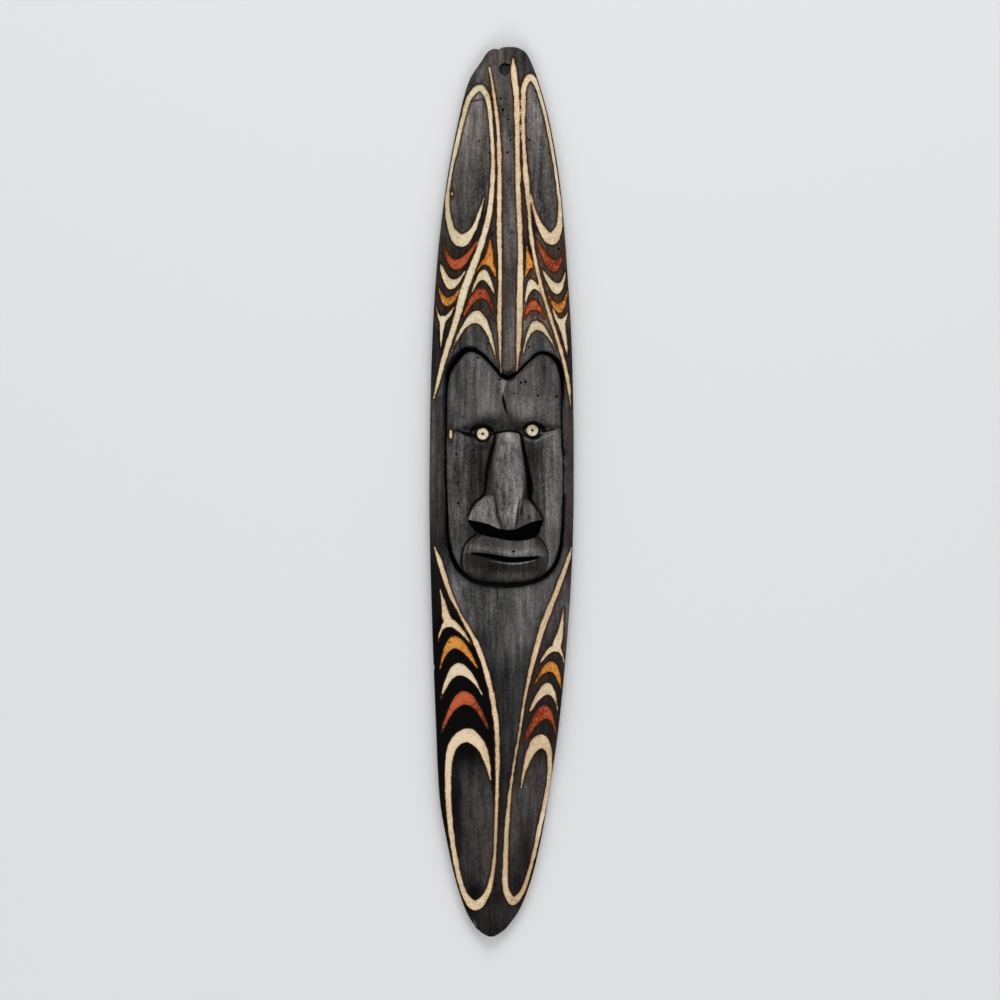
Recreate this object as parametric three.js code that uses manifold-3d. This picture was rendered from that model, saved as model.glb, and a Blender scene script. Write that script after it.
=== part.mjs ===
// A long carved and painted spirit board with a face in relief, lying on its back.
// Millimetres. X runs across the board, Y from its foot up to its hanging hole, Z out of its face.
import * as THREE from 'three';
import Module from 'manifold-3d';
import { mergeVertices } from 'three/addons/utils/BufferGeometryUtils.js';

// Overall sizes of the board
const BOARD_LENGTH = 540;
const BOARD_WIDTH = 87.5;
const EDGE_THICKNESS = 8.5;
const END_EDGE_THICKNESS = 6;
const CENTRE_THICKNESS = 16.5;
const END_CENTRE_THICKNESS = 9.5;
const END_TAPER_LENGTH = 150;

// Heights in the face, measured from the board's centre thickness
const FOREHEAD_RISE = 3.2;
const BROW_CREASE_DEPTH = 2.2;
const CHEEK_RIM_DROP = 0.6;
const CHEEK_HOLLOW_DROP = 4.6;
const NOSE_ROOT_RISE = 0.8;
const NOSE_TIP_RISE = 9.6;
const NOSE_CROWN = 1.6;
const WING_RISE = 4.2;
const LIP_RISE = 3.4;
const CHIN_DROP = 1.6;
const FACE_ROLL = 2.6;
const FACE_ROLL_WIDTH = 4.5;

// How steeply the rounded forms fall away: a greater power keeps a form full for longer
const BOARD_ROUNDING_POWER = 2.4;
const FOREHEAD_ROUNDING_POWER = 3;
const WING_ROUNDING_POWER = 0.8;
const NECK_SLOPE_POWER = 1.5;

// Cuts
const FACE_GROOVE_DEPTH = 4.2;
const PATTERN_GROOVE_DEPTH = 1.1;
const PATTERN_GROOVE_WALL = 0.5;
const NOSE_UNDERCUT_FLOOR = 9.5;
const MOUTH_FLOOR = 14.5;
const NECK_DROP = 4.4;
const HANGING_HOLE_DIAMETER = 6;

// The two eye discs and the sockets that hold them
const EYE_DISC_DIAMETER = 8;
const EYE_DISC_THICKNESS = 2.4;
const EYE_DISC_BEVEL = 0.4;
const EYE_DIMPLE_DIAMETER = 1.3;
const EYE_DIMPLE_DEPTH = 0.9;
const EYE_SOCKET_FLOOR = 11.6;
const EYE_HOLLOW_DEPTH = 1.4;
const FIT_CLEARANCE = 0.3;

// How finely the solid is faceted, and how far the cutters stand clear of what they cut
const ROW_STEP = 27;
const FACE_ROW_STEP = 5.4;
const FEATURE_ROW_STEP = 3;
const FOOT_ROWS = [0, 0.4, 1, 2];
const TOP_ROWS = [98.4, 99.2, 99.8, 100];
const CHEEK_COLUMNS = 2;
const FACE_SIDE_OFFSET = 0.4;
const FACE_CORNER_HEIGHT = 14;
const STEPS_PER_STATION = 1.5;
const CRESCENT_STEPS = 5;
const OUTLINE_STEPS = 40;
const UNDERCUT_STEPS = 11;
const MOUTH_STEPS = 6;
const ROUND_SIDES = 16;
const CUT_CLEARANCE = 2;
const CUT_ABOVE = 30;
const TIP_BREADTH = 0.4;

// The shares of a cut's breadth left at its floor
const FACE_GROOVE_FLOOR_SHARE = 0.45;
const NOSE_UNDERCUT_FLOOR_SHARE = 0.9;
const MOUTH_FLOOR_SHARE = 0.4;
// How near the inside of a bent cut comes to the centre of its bend, as a share of the bend's radius
const BEND_SHARE = 0.85;

// Places are shares of the board: across, in hundredths of its width from the middle,
// and up, in hundredths of its length from the foot. Breadths of lines are in millimetres.
const across = (share) => (share / 100) * BOARD_WIDTH;
const up = (share) => (share / 100) * BOARD_LENGTH;

// The board's two long edges, as up and across
const LEFT_EDGE = [
  [0, -11], [1, -18.7], [3, -25], [6.4, -32], [10.9, -38.1], [15.4, -42.8], [24.4, -45.6], [37.8, -48.6],
  [49.1, -50], [64.8, -48.5], [76, -44.5], [85, -37.8], [91.8, -29.8], [96.3, -22.3], [98.5, -14],
  [100, -6],
];
const RIGHT_EDGE = [
  [0, -5], [1, 3.4], [3, 12.4], [6.4, 20.6], [10.9, 27.3], [15.4, 32.2], [24.4, 40.2], [37.8, 47.4],
  [49.1, 50], [64.8, 49], [76, 45.1], [85, 40.2], [91.8, 33], [96.3, 25.3], [98.5, 19.4], [100, 10],
];
const HANGING_HOLE = { across: 2.5, up: 97.5 };

// The carved and painted lines: across, up and breadth at each station
const BANDS = {
  upperLeft: [
    [-12, 83, 0.4], [-15, 81.4, 1.5], [-20, 79.3, 3.2], [-28, 78.2, 7.4], [-34.5, 79.4, 4.1],
    [-37.5, 82, 2.6], [-36, 85.5, 2.3], [-31, 89, 2.4], [-26, 92.4, 2.4], [-21.5, 94.5, 3.2],
    [-15, 95.4, 4.2], [-10, 94.7, 3.4], [-7, 91, 2.4], [-6, 85.5, 2.6], [-9, 80.8, 3.2], [-14, 77.8, 3.4],
    [-25.5, 72.7, 4.4], [-31, 69.5, 3.4], [-40.5, 64.6, 2.7], [-44.5, 62, 1.8], [-47, 60.5, 0.3],
  ],
  upperRight: [
    [20, 83.6, 0.4], [23, 81.4, 1.8], [28.5, 79.3, 4.2], [34.5, 78.4, 7.2], [39.5, 79.6, 4.1],
    [40.5, 81.8, 2.1], [38, 85.5, 1.7], [31.5, 91.6, 2.2], [27.5, 94.2, 2.4], [24.5, 95.7, 3],
    [20, 96.6, 3.8], [16.3, 95.8, 3.2], [15, 93, 2.3], [15.5, 88.5, 2.1], [17.7, 84.1, 3],
    [19, 81.4, 1.7], [20.7, 78.5, 2], [27, 73.3, 1.8], [42, 65.3, 1.8], [46.3, 62.2, 1.8],
    [48, 59.4, 0.3],
  ],
  lowerLeft: [
    [-46.5, 43.8, 0.3], [-43.5, 42.5, 2.4], [-35.5, 38.6, 2.2], [-29, 36.4, 1.3], [-16.5, 32.6, 2.8],
    [-8.5, 28.5, 2.7], [-3.7, 24, 2.8], [-2.8, 20.5, 2.4], [-3.8, 13, 1.7], [-5.3, 8.4, 1.7],
    [-10, 4.9, 3.3], [-18.3, 3.5, 5.6], [-25, 4.6, 3.2], [-30, 7.1, 2.7], [-35, 12, 3], [-37, 17, 3.5],
    [-36, 20.2, 4.3], [-32, 21.9, 6], [-23.5, 22.7, 8.2], [-15, 21.7, 5.8], [-10.5, 20, 3.7],
    [-7.5, 17.7, 0.4],
  ],
  lowerRight: [
    [48.5, 43.8, 0.4], [46, 42.3, 2], [37.5, 38.6, 2.8], [28, 34.6, 3.4], [21.5, 30.8, 2.6],
    [16.5, 27.2, 1.7], [12.5, 23.1, 1.5], [7, 17.7, 1.3], [4, 13, 2.4], [2.7, 8.5, 2.9], [3.3, 5.2, 3.6],
    [8, 4, 4.5], [13.5, 4.8, 2.8], [20, 7.7, 1.9], [27, 12.7, 2.5], [32.5, 17.1, 2.5], [33.5, 19.6, 2.6],
    [32, 21.2, 4], [27, 22, 8], [21, 21, 4.9], [16.5, 19.1, 2.4], [13.5, 16.8, 0.3],
  ],
  leftMiddle: [
    [-9, 97.7, 0.5], [-6.3, 95.4, 1.8], [-3.3, 91.8, 2.2], [-1.5, 87.3, 2.5], [-1.6, 80.5, 2.7],
    [-1, 74, 2], [-1.4, 69.3, 2.3], [-0.5, 63.3, 0.5],
  ],
  rightMiddle: [
    [8, 98.7, 0.6], [8.2, 97.6, 3], [10.3, 94.2, 3.3], [11, 89, 2.7], [11.6, 83, 2.8], [13, 77.5, 2.8],
    [12.8, 73.5, 3.5], [11.8, 67, 2.8], [10.6, 63.5, 0.5],
  ],
  lowerLeftTail: [[-42.5, 39, 0.3], [-40, 37.4, 2.4], [-38.3, 36, 4.6], [-36.3, 35.3, 5]],
  lowerRightTail: [[43, 36.9, 0.3], [41, 34.6, 2.7], [39, 33.2, 4.9], [37.5, 32.5, 4.5]],
  upperLeftTail: [[-40.5, 69.4, 4], [-41.5, 68, 1.8], [-42, 66.3, 0.3]],
  upperRightTail: [[41.5, 69, 4.5], [43.3, 67.6, 2.6], [45.5, 65.4, 0.3]],
  innerLeftTail: [[-8, 78.5, 0.3], [-8, 77.3, 2.7], [-8.7, 75.9, 5.5]],
  innerRightTail: [[17.5, 77.5, 0.3], [18, 76.7, 1.7], [19.3, 75.6, 4.2]],
};

// How full a crescent's arms are: 1 thins them evenly from crown to tip, and less keeps them broad for longer
const CRESCENT_FULLNESS = 0.66;

// The crescents in each column: left tip, right tip, crown and greatest breadth
const CRESCENTS = [
  // lower left
  [[-44, 33.2], [-21, 32.9], [-36, 35.3], 4.6],
  [[-42.5, 30.2], [-16.5, 30.2], [-32.5, 33.1], 7.4],
  [[-42, 26.8], [-13.5, 27.3], [-29.5, 30.1], 7.4],
  [[-41.5, 23], [-9.5, 23.5], [-26, 26.9], 7.6],
  // lower right
  [[26.5, 30.8], [43.5, 30.7], [37.5, 32.5], 3.6],
  [[23, 28.5], [41.5, 27.8], [34.5, 30.4], 6.2],
  [[19.5, 25.4], [39, 25.4], [32, 27.9], 7.2],
  [[15.5, 21.9], [38.5, 22.2], [30, 25.3], 8],
  // upper left, beside the edge
  [[-40.5, 78], [-16.5, 78.1], [-31.5, 75.5], 6.2],
  [[-42.5, 75.6], [-25.5, 74.7], [-35, 73.3], 6],
  [[-43.5, 72.9], [-29, 72.7], [-37.5, 71.3], 5.2],
  [[-45.3, 70.8], [-33, 70.7], [-40.8, 69.3], 3.6],
  // upper right, beside the edge
  [[24, 78.3], [43.5, 77.8], [36.5, 75.3], 6.6],
  [[28, 75], [44.5, 74.9], [38.5, 72.8], 6.4],
  [[31.5, 72.4], [46, 72.7], [40, 70.6], 5.4],
  [[34.5, 70.7], [46.5, 70.5], [41, 69], 4],
  // upper left, beside the middle
  [[-17, 74.8], [-4, 74.1], [-9.5, 75.9], 4.6],
  [[-20.5, 72.4], [-5, 72.2], [-12.5, 74.3], 6.3],
  [[-26, 69.8], [-5.5, 70], [-14, 72.3], 6],
  [[-34.5, 65.8], [-4, 65], [-17, 69.6], 7.2],
  // upper right, beside the middle
  [[16.5, 74.1], [23, 74.6], [19.5, 75.5], 3.8],
  [[16.5, 71.2], [28.5, 71.8], [21, 73.3], 5.8],
  [[15.5, 69.3], [30, 69.5], [22, 71], 5.8],
  [[15, 65.5], [37.5, 65.9], [24, 68.7], 5.4],
];

// The face: its heart-shaped outline, and the lines that its features follow
const FACE_MIDDLE = 2.4;
const FOREHEAD_HALF_WIDTH = 44;
const CHEEK_HOLLOW_FROM = 9;
const CHEEK_HOLLOW_TO = 34;
const BROW_CREASE_HALF_WIDTH = 3.5;
const FACE_OUTLINE = [
  [5.1, 62.8, 2.7], [0.4, 63, 2.6], [-5.9, 64.1, 1.8], [-12.4, 65.2, 1.9], [-19.4, 65.9, 2.6],
  [-25.3, 65.8, 3.3], [-31.6, 64.7, 3], [-35.8, 63.5, 2.3], [-37.8, 61.8, 1.4], [-38.4, 57.3, 1.3],
  [-38.6, 52.5, 1.3], [-37.7, 47.8, 1.4], [-36.8, 44.6, 1.7], [-33.6, 42.5, 2.5], [-28.6, 41.1, 2.7],
  [-19, 40, 2.5], [-8, 39.6, 2.8], [4, 39.5, 3], [16, 39.7, 2.8], [26.5, 40.2, 2.7], [34.5, 41.2, 2.4],
  [39.6, 42.9, 2.2], [41.8, 45.2, 1.7], [42.6, 49.2, 1.2], [42.8, 53.8, 1.2], [41.9, 55.2, 1.2],
  [41.4, 58.5, 0.9], [41.6, 61.6, 1.2], [41, 63.4, 2.6], [37.8, 64.7, 2.7], [31.4, 65.5, 2],
  [25.5, 65.5, 1.6], [18.6, 64.6, 1.3], [12.4, 63.6, 1.3],
];
const BROW_LINE = [
  [-40.5, 56.6], [-33.4, 56.9], [-26.1, 57.5], [-18.7, 58], [-12.6, 58.4], [-4, 58.9], [0.3, 59.5],
  [4.6, 58.9], [10.6, 58.1], [18, 57.9], [27.8, 57.5], [38, 57.1],
];
const EYE_LINE = [[-38, 56.4], [-28, 56.9], [-16, 56.3], [0, 56.7], [19, 56.9], [38, 57.1]];
const NOSE_FOOT_LINE = [
  [-25.4, 46.8], [-18.7, 46.6], [-11.4, 46.3], [-4, 45.8], [2.1, 45.7], [8.3, 45.8], [13.2, 46.2],
  [19.3, 46.6], [26.3, 46.8],
];
const LIP_TOP_LINE = [
  [-25.4, 46.8], [-22.4, 46], [-18.7, 45.4], [-12.6, 45.1], [-4, 44.8], [3.3, 44.6], [13.1, 44.6],
  [18, 44.8], [22.9, 45.3], [26.3, 46.8],
];
const NOSE_MIDDLE = 4.5;
const NOSE_RIDGE_HALF_WIDTH = [
  [45.7, 3.6], [46.8, 6.2], [48, 7.8], [49.1, 9], [50.2, 10.4], [51.5, 10.8], [53.6, 10.2], [55.8, 8.4],
  [56.7, 7.4],
];
const NOSE_BASE_HALF_WIDTH = [[45.7, 9], [47.5, 13], [49.5, 16.3], [51.3, 14.9], [53.6, 12.7], [56.7, 8.8]];
const NOSE_RISE = [[45.7, 0.97], [46.6, 1], [49, 0.86], [52, 0.6], [56.4, 0]];
const NOSE_WINGS = [
  { across: -13.9, up: 46.6, halfWidth: 14.2, halfHeight: 3 },
  { across: 11.1, up: 46.6, halfWidth: 13.3, halfHeight: 2.6 },
];
const LIPS = { across: -0.6, up: 42.4, halfWidth: 30, halfHeight: 3.7 };
const MOUTH_SLIT = [
  [-20.5, 43.1, 0.6], [-11.5, 42.9, 1.9], [6, 42.4, 2.6], [18.5, 42.5, 2.1], [25.5, 42.7, 0.6],
];
const EYES = [
  { name: 'left_eye_disc', across: -13, up: 56.5 },
  { name: 'right_eye_disc', across: 21.4, up: 56.9 },
];
const EYE_HOLLOW_HALF_WIDTH = 13;
const EYE_HOLLOW_HALF_HEIGHT = 1;
const NECK_TOP = 39.6;
const NECK_FOOT = 25;
const NECK_EDGES = [[24, 6], [28, 10], [32.6, 18], [38.6, 33], [42, 42]];
const NECK_MIDDLE = 3.6;
const NECK_EDGE_SOFTNESS = 7;
const NECK_FADE_FROM = 0.6;
const NECK_FADE_TO = 4;

const clamp = THREE.MathUtils.clamp;
const lerp = THREE.MathUtils.lerp;
const smoothstep = THREE.MathUtils.smoothstep;

// The smooth value at a place among stations, each a place and its value
function between(stations, place) {
  const last = stations.length - 1;
  const at = clamp(place, stations[0][0], stations[last][0]);
  let i = 0;
  while (i < last - 1 && at > stations[i + 1][0]) i += 1;
  const slope = (j) => {
    const before = stations[Math.max(j - 1, 0)];
    const after = stations[Math.min(j + 1, last)];
    return (after[1] - before[1]) / (after[0] - before[0]);
  };
  const [start, startValue] = stations[i];
  const [end, endValue] = stations[i + 1];
  const span = end - start;
  const t = (at - start) / span;
  const ease = t * t * (3 - 2 * t);
  const bend = t * (1 - t) * span * (slope(i) * (1 - t) - slope(i + 1) * t);
  return startValue + (endValue - startValue) * ease + bend;
}

// The board's own rounded section, before the face and the lines are cut
function boardHeight(x, y) {
  const share = (y / BOARD_LENGTH) * 100;
  const left = across(between(LEFT_EDGE, share));
  const right = across(between(RIGHT_EDGE, share));
  const side = clamp(Math.abs((2 * x - left - right) / (right - left)), 0, 1);
  const fromEnd = smoothstep(Math.min(y, BOARD_LENGTH - y), 0, END_TAPER_LENGTH);
  const edge = lerp(END_EDGE_THICKNESS, EDGE_THICKNESS, fromEnd);
  const centre = lerp(END_CENTRE_THICKNESS, CENTRE_THICKNESS, fromEnd);
  return edge + (centre - edge) * (1 - side ** BOARD_ROUNDING_POWER);
}

// Points along a smooth line through stations of across, up and breadth
function linePoints(stations, steps, closed = false) {
  const through = stations.map(([a, u, breadth]) => new THREE.Vector3(across(a), up(u), breadth));
  const curve = new THREE.CatmullRomCurve3(through, closed, 'centripetal');
  const points = curve.getPoints(steps);
  return closed ? points.slice(0, -1) : points;
}

const faceOutline = linePoints(FACE_OUTLINE, 2 * OUTLINE_STEPS, true);

// The distance inwards from the face's outline, negative outside it
function insideFace(x, y) {
  let nearest = Infinity;
  let inside = false;
  faceOutline.forEach((from, i) => {
    const to = faceOutline[(i + 1) % faceOutline.length];
    const dx = to.x - from.x;
    const dy = to.y - from.y;
    const t = clamp(((x - from.x) * dx + (y - from.y) * dy) / (dx * dx + dy * dy), 0, 1);
    nearest = Math.min(nearest, Math.hypot(x - from.x - t * dx, y - from.y - t * dy));
    if (from.y > y !== to.y > y && x < from.x + ((y - from.y) / dy) * dx) inside = !inside;
  });
  return inside ? nearest : -nearest;
}

// A rounded swelling from 1 at its middle to 0 at its rim
function swelling(form, p, share) {
  const reach = ((p - form.across) / form.halfWidth) ** 2 + ((share - form.up) / form.halfHeight) ** 2;
  return Math.sqrt(Math.max(0, 1 - reach));
}

// The height of the carved face
function faceHeight(x, y, inwards) {
  const share = (y / BOARD_LENGTH) * 100;
  const place = (x / BOARD_WIDTH) * 100;
  const p = place - FACE_MIDDLE;
  const side = Math.abs(p);
  const fromHollow = smoothstep(side, CHEEK_HOLLOW_FROM, CHEEK_HOLLOW_TO);
  const cheek = CENTRE_THICKNESS - lerp(CHEEK_HOLLOW_DROP, CHEEK_RIM_DROP, fromHollow);
  const crease = BROW_CREASE_DEPTH * Math.exp(-((p / BROW_CREASE_HALF_WIDTH) ** 2));
  const roundness = 1 - (side / FOREHEAD_HALF_WIDTH) ** FOREHEAD_ROUNDING_POWER;
  const forehead = CENTRE_THICKNESS + FOREHEAD_RISE * roundness - crease;
  const brow = between(BROW_LINE, p);
  const eyeLine = between(EYE_LINE, p);
  let height = lerp(cheek, forehead, smoothstep(share, eyeLine, brow));

  const fromNose = Math.abs(place - NOSE_MIDDLE);
  const ridge = between(NOSE_RIDGE_HALF_WIDTH, share);
  const base = between(NOSE_BASE_HALF_WIDTH, share);
  const noseRise = lerp(NOSE_ROOT_RISE, NOSE_TIP_RISE, between(NOSE_RISE, share));
  const crown = noseRise - NOSE_CROWN * Math.min(fromNose / ridge, 1) ** 2;
  const flank = lerp(crown, -CHEEK_HOLLOW_DROP, clamp((fromNose - ridge) / (base - ridge), 0, 1));
  if (share < eyeLine) height = Math.max(height, CENTRE_THICKNESS + (fromNose < ridge ? crown : flank));
  for (const wing of NOSE_WINGS) {
    const swell = swelling(wing, place - NOSE_MIDDLE, share);
    const rise = (CENTRE_THICKNESS + WING_RISE - cheek) * swell ** WING_ROUNDING_POWER;
    if (swell > 0) height = Math.max(height, cheek + rise);
  }

  if (share < between(NOSE_FOOT_LINE, p)) {
    const lips = Math.min(1, 2 * swelling(LIPS, p, share));
    const fallBack = CHIN_DROP * smoothstep(LIPS.up - share, 0, LIPS.halfHeight);
    height = lerp(cheek, CENTRE_THICKNESS + LIP_RISE - fallBack, lips);
  }
  for (const eye of EYES) {
    const near = ((place - eye.across) / EYE_HOLLOW_HALF_WIDTH) ** 2;
    const beside = ((share - eye.up) / EYE_HOLLOW_HALF_HEIGHT) ** 2;
    height -= EYE_HOLLOW_DEPTH * Math.exp(-near - beside);
  }
  return height - FACE_ROLL * (1 - smoothstep(inwards, 0, FACE_ROLL_WIDTH));
}

// The height of the whole front, without its narrow cuts
function frontHeight(x, y) {
  const inwards = insideFace(x, y);
  if (inwards > 0) return faceHeight(x, y, inwards);
  const share = (y / BOARD_LENGTH) * 100;
  const p = Math.abs((x / BOARD_WIDTH) * 100 - NECK_MIDDLE);
  const withinNeck = 1 - smoothstep(p - between(NECK_EDGES, share), -NECK_EDGE_SOFTNESS, 0);
  const below = 1 - smoothstep(share, NECK_TOP + NECK_FADE_FROM, NECK_TOP + NECK_FADE_TO);
  const neck = smoothstep(share, NECK_FOOT, NECK_TOP) ** NECK_SLOPE_POWER * withinNeck * below;
  return boardHeight(x, y) - NECK_DROP * neck;
}

const wasm = await Module();
wasm.setup();

// A closed solid from a list of points and the corners of its faces
function solid(points, faces) {
  const mesh = new wasm.Mesh({
    numProp: 3,
    vertProperties: new Float32Array(points.flat()),
    triVerts: new Uint32Array(faces.flat()),
  });
  return new wasm.Manifold(mesh);
}

// A closed solid from one of the round geometries
function solidOf(geometry) {
  geometry.deleteAttribute('normal');
  geometry.deleteAttribute('uv');
  const merged = mergeVertices(geometry);
  const mesh = new wasm.Mesh({
    numProp: 3,
    vertProperties: new Float32Array(merged.attributes.position.array),
    triVerts: new Uint32Array(merged.index.array),
  });
  return new wasm.Manifold(mesh);
}

// An upright round cutter from one height to another
function roundCutter(diameter, x, y, bottom, top) {
  const geometry = new THREE.CylinderGeometry(diameter / 2, diameter / 2, top - bottom, ROUND_SIDES);
  geometry.rotateX(Math.PI / 2);
  geometry.translate(x, y, (top + bottom) / 2);
  return solidOf(geometry);
}

const faceFoot = Math.min(...faceOutline.map((point) => point.y));
const faceTop = Math.max(...faceOutline.map((point) => point.y));

// The heights along the board at which the front is measured, closest at the mouth and the brows
function rowPlaces() {
  const places = FOOT_ROWS.map(up);
  const fill = (from, to, step) => {
    const count = Math.ceil((to - from) / step);
    for (let i = 1; i <= count; i += 1) places.push(from + ((to - from) * i) / count);
  };
  const mouthTop = up(NOSE_WINGS[0].up + NOSE_WINGS[0].halfHeight);
  const eyes = up(EYES[0].up);
  const browTop = up(Math.max(...BROW_LINE.map(([, share]) => share)));
  fill(places[places.length - 1], faceFoot, ROW_STEP);
  fill(faceFoot, mouthTop, FEATURE_ROW_STEP);
  fill(mouthTop, eyes, FACE_ROW_STEP);
  fill(eyes, browTop, FEATURE_ROW_STEP);
  fill(browTop, faceTop, FACE_ROW_STEP);
  fill(faceTop, up(TOP_ROWS[0]), ROW_STEP);
  return [...places, ...TOP_ROWS.slice(1).map(up)];
}

// The face outline's left and right edge at a height, kept apart at its round corners
function faceSides(y) {
  const at = clamp(y, faceFoot + FACE_CORNER_HEIGHT, faceTop - FACE_CORNER_HEIGHT);
  const crossings = [];
  faceOutline.forEach((from, i) => {
    const to = faceOutline[(i + 1) % faceOutline.length];
    if (from.y > at !== to.y > at) crossings.push(lerp(from.x, to.x, (at - from.y) / (to.y - from.y)));
  });
  return [Math.min(...crossings), Math.max(...crossings)];
}

// How far the foot of the nose, or of its wing, stands from its middle
function noseReach(wing, share) {
  const rise = clamp((share - wing.up) / wing.halfHeight, 0, 1);
  const side = Math.sign(wing.across);
  const wingReach = rise < 1 ? side * wing.across + wing.halfWidth * Math.sqrt(1 - rise ** 2) : 0;
  return across(Math.max(wingReach, between(NOSE_BASE_HALF_WIDTH, share)));
}

// The places across the board at which a row is measured: its edges, the face's sides and the nose's planes
function columnPlaces(y) {
  const share = (y / BOARD_LENGTH) * 100;
  const left = across(between(LEFT_EDGE, share));
  const right = across(between(RIGHT_EDGE, share));
  const [faceLeft, faceRight] = faceSides(y);
  const middle = across(NOSE_MIDDLE);
  const ridge = across(between(NOSE_RIDGE_HALF_WIDTH, share));
  const spread = (from, to, count) => {
    return Array.from({ length: count }, (_, i) => lerp(from, to, (i + 1) / count));
  };
  const half = (edge, side, wing) => {
    const base = middle + side * noseReach(wing, share);
    const ridgeEdge = middle + side * ridge;
    const outer = edge + side * FACE_SIDE_OFFSET;
    const inner = edge - (side * FACE_ROLL_WIDTH) / 2;
    const cheek = spread(inner, base, CHEEK_COLUMNS);
    return [outer, inner, ...cheek, (base + ridgeEdge) / 2, ridgeEdge, (ridgeEdge + middle) / 2];
  };
  const inFace = [
    left,
    ...half(faceLeft, -1, NOSE_WINGS[0]),
    middle,
    ...half(faceRight, 1, NOSE_WINGS[1]).reverse(),
    right,
  ];
  const even = [left, ...spread(left, right, inFace.length - 1)];
  const beyond = Math.max(faceFoot - y, y - faceTop, 0);
  const blend = smoothstep(beyond, 0, ROW_STEP);
  return inFace.map((x, i) => lerp(x, even[i], blend));
}

// The board without its narrow cuts: a grid of front heights over a flat back
function blank() {
  const points = [];
  const faces = [];
  const rows = rowPlaces();
  const width = columnPlaces(rows[0]).length;
  const columns = width - 1;
  rows.forEach((y) => {
    columnPlaces(y).forEach((x) => points.push([x, y, frontHeight(x, y)]));
  });
  const backStart = points.length;
  rows.forEach((y, row) => {
    points.push([points[row * width][0], y, 0], [points[row * width + columns][0], y, 0]);
  });
  const quad = (a, b, c, d) => {
    const level = Math.abs(points[a][2] - points[c][2]) <= Math.abs(points[b][2] - points[d][2]);
    faces.push(...(level ? [[a, b, c], [a, c, d]] : [[a, b, d], [b, c, d]]));
  };
  for (let row = 0; row < rows.length - 1; row += 1) {
    const low = row * width;
    const high = low + width;
    const backLow = backStart + 2 * row;
    const backHigh = backLow + 2;
    for (let i = 0; i < columns; i += 1) quad(low + i, low + i + 1, high + i + 1, high + i);
    quad(backLow + 1, backLow, backHigh, backHigh + 1);
    quad(backLow, low, high, backHigh);
    quad(low + columns, backLow + 1, backHigh + 1, high + columns);
  }
  const topRow = (rows.length - 1) * width;
  const topBack = backStart + 2 * (rows.length - 1);
  for (let i = 0; i < columns; i += 1) {
    faces.push([backStart, i + 1, i]);
    faces.push([topBack, topRow + i, topRow + i + 1]);
  }
  faces.push([backStart, backStart + 1, columns]);
  faces.push([topBack, topRow + columns, topBack + 1]);
  return solid(points, faces);
}

// A cutter between two edges at the surface. Its walls slope in to a narrower floor and go on above the surface.
function channel(edges, cut) {
  const points = [];
  const faces = [];
  const count = edges.length;
  edges.forEach(([left, right]) => {
    const middle = { x: (left.x + right.x) / 2, y: (left.y + right.y) / 2 };
    const half = Math.hypot(left.x - right.x, left.y - right.y) / 2;
    const surface = cut.surfaceAt(middle);
    const depth = cut.depthAt(surface, half);
    const floorHalf = cut.floorHalf(half);
    const topHalf = half + ((half - floorHalf) * cut.above) / depth;
    const at = (offset, height) => {
      const share = (1 + offset / half) / 2;
      return [lerp(right.x, left.x, share), lerp(right.y, left.y, share), height];
    };
    points.push(at(topHalf, surface + cut.above), at(floorHalf, surface - depth));
    points.push(at(-floorHalf, surface - depth), at(-topHalf, surface + cut.above));
  });
  const spans = cut.closed ? count : count - 1;
  for (let i = 0; i < spans; i += 1) {
    const from = 4 * i;
    const to = 4 * ((i + 1) % count);
    for (let k = 0; k < 4; k += 1) {
      const next = (k + 1) % 4;
      faces.push([from + k, to + k, to + next], [from + k, to + next, from + next]);
    }
  }
  if (!cut.closed) {
    const end = 4 * (count - 1);
    faces.push([0, 1, 2], [0, 2, 3], [end, end + 2, end + 1], [end, end + 3, end + 2]);
  }
  return solid(points, faces);
}

// The two edges of a line of points that carry its breadth. On the inside of a bend an edge keeps clear of
// the bend's centre.
function lineEdges(line, closed = false) {
  const count = line.length;
  return line.map((point, i) => {
    const before = line[closed ? (i - 1 + count) % count : Math.max(i - 1, 0)];
    const after = line[closed ? (i + 1) % count : Math.min(i + 1, count - 1)];
    const runX = after.x - before.x;
    const runY = after.y - before.y;
    const run = Math.hypot(runX, runY);
    const sideways = ((point.x - before.x) * runY - (point.y - before.y) * runX) / run;
    const radius = sideways === 0 ? Infinity : run ** 2 / (8 * Math.abs(sideways));
    const half = point.z / 2;
    const inside = Math.min(half, BEND_SHARE * radius);
    const leftHalf = sideways > 0 ? inside : half;
    const rightHalf = sideways < 0 ? inside : half;
    const at = (offset) => ({ x: point.x - (runY / run) * offset, y: point.y + (runX / run) * offset });
    return [at(leftHalf), at(-rightHalf)];
  });
}

// The two edges of a crescent, nearly meeting at its tips and furthest apart at its crown
function crescentEdges([leftTip, rightTip, crown, breadth]) {
  const start = new THREE.Vector2(across(leftTip[0]), up(leftTip[1]));
  const end = new THREE.Vector2(across(rightTip[0]), up(rightTip[1]));
  const middle = new THREE.Vector2(across(crown[0]), up(crown[1]));
  const chord = end.clone().sub(start).normalize();
  const control = middle.multiplyScalar(2).sub(start.clone().add(end).multiplyScalar(0.5));
  const curve = new THREE.QuadraticBezierCurve(start, control, end);
  return Array.from({ length: CRESCENT_STEPS + 1 }, (_, i) => {
    const t = (1 - Math.cos((Math.PI * i) / CRESCENT_STEPS)) / 2;
    const point = curve.getPoint(t);
    const half = Math.max(TIP_BREADTH, breadth * (4 * t * (1 - t)) ** CRESCENT_FULLNESS) / 2;
    const at = (offset) => ({ x: point.x - chord.y * offset, y: point.y + chord.x * offset });
    return [at(half), at(-half)];
  });
}

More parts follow.
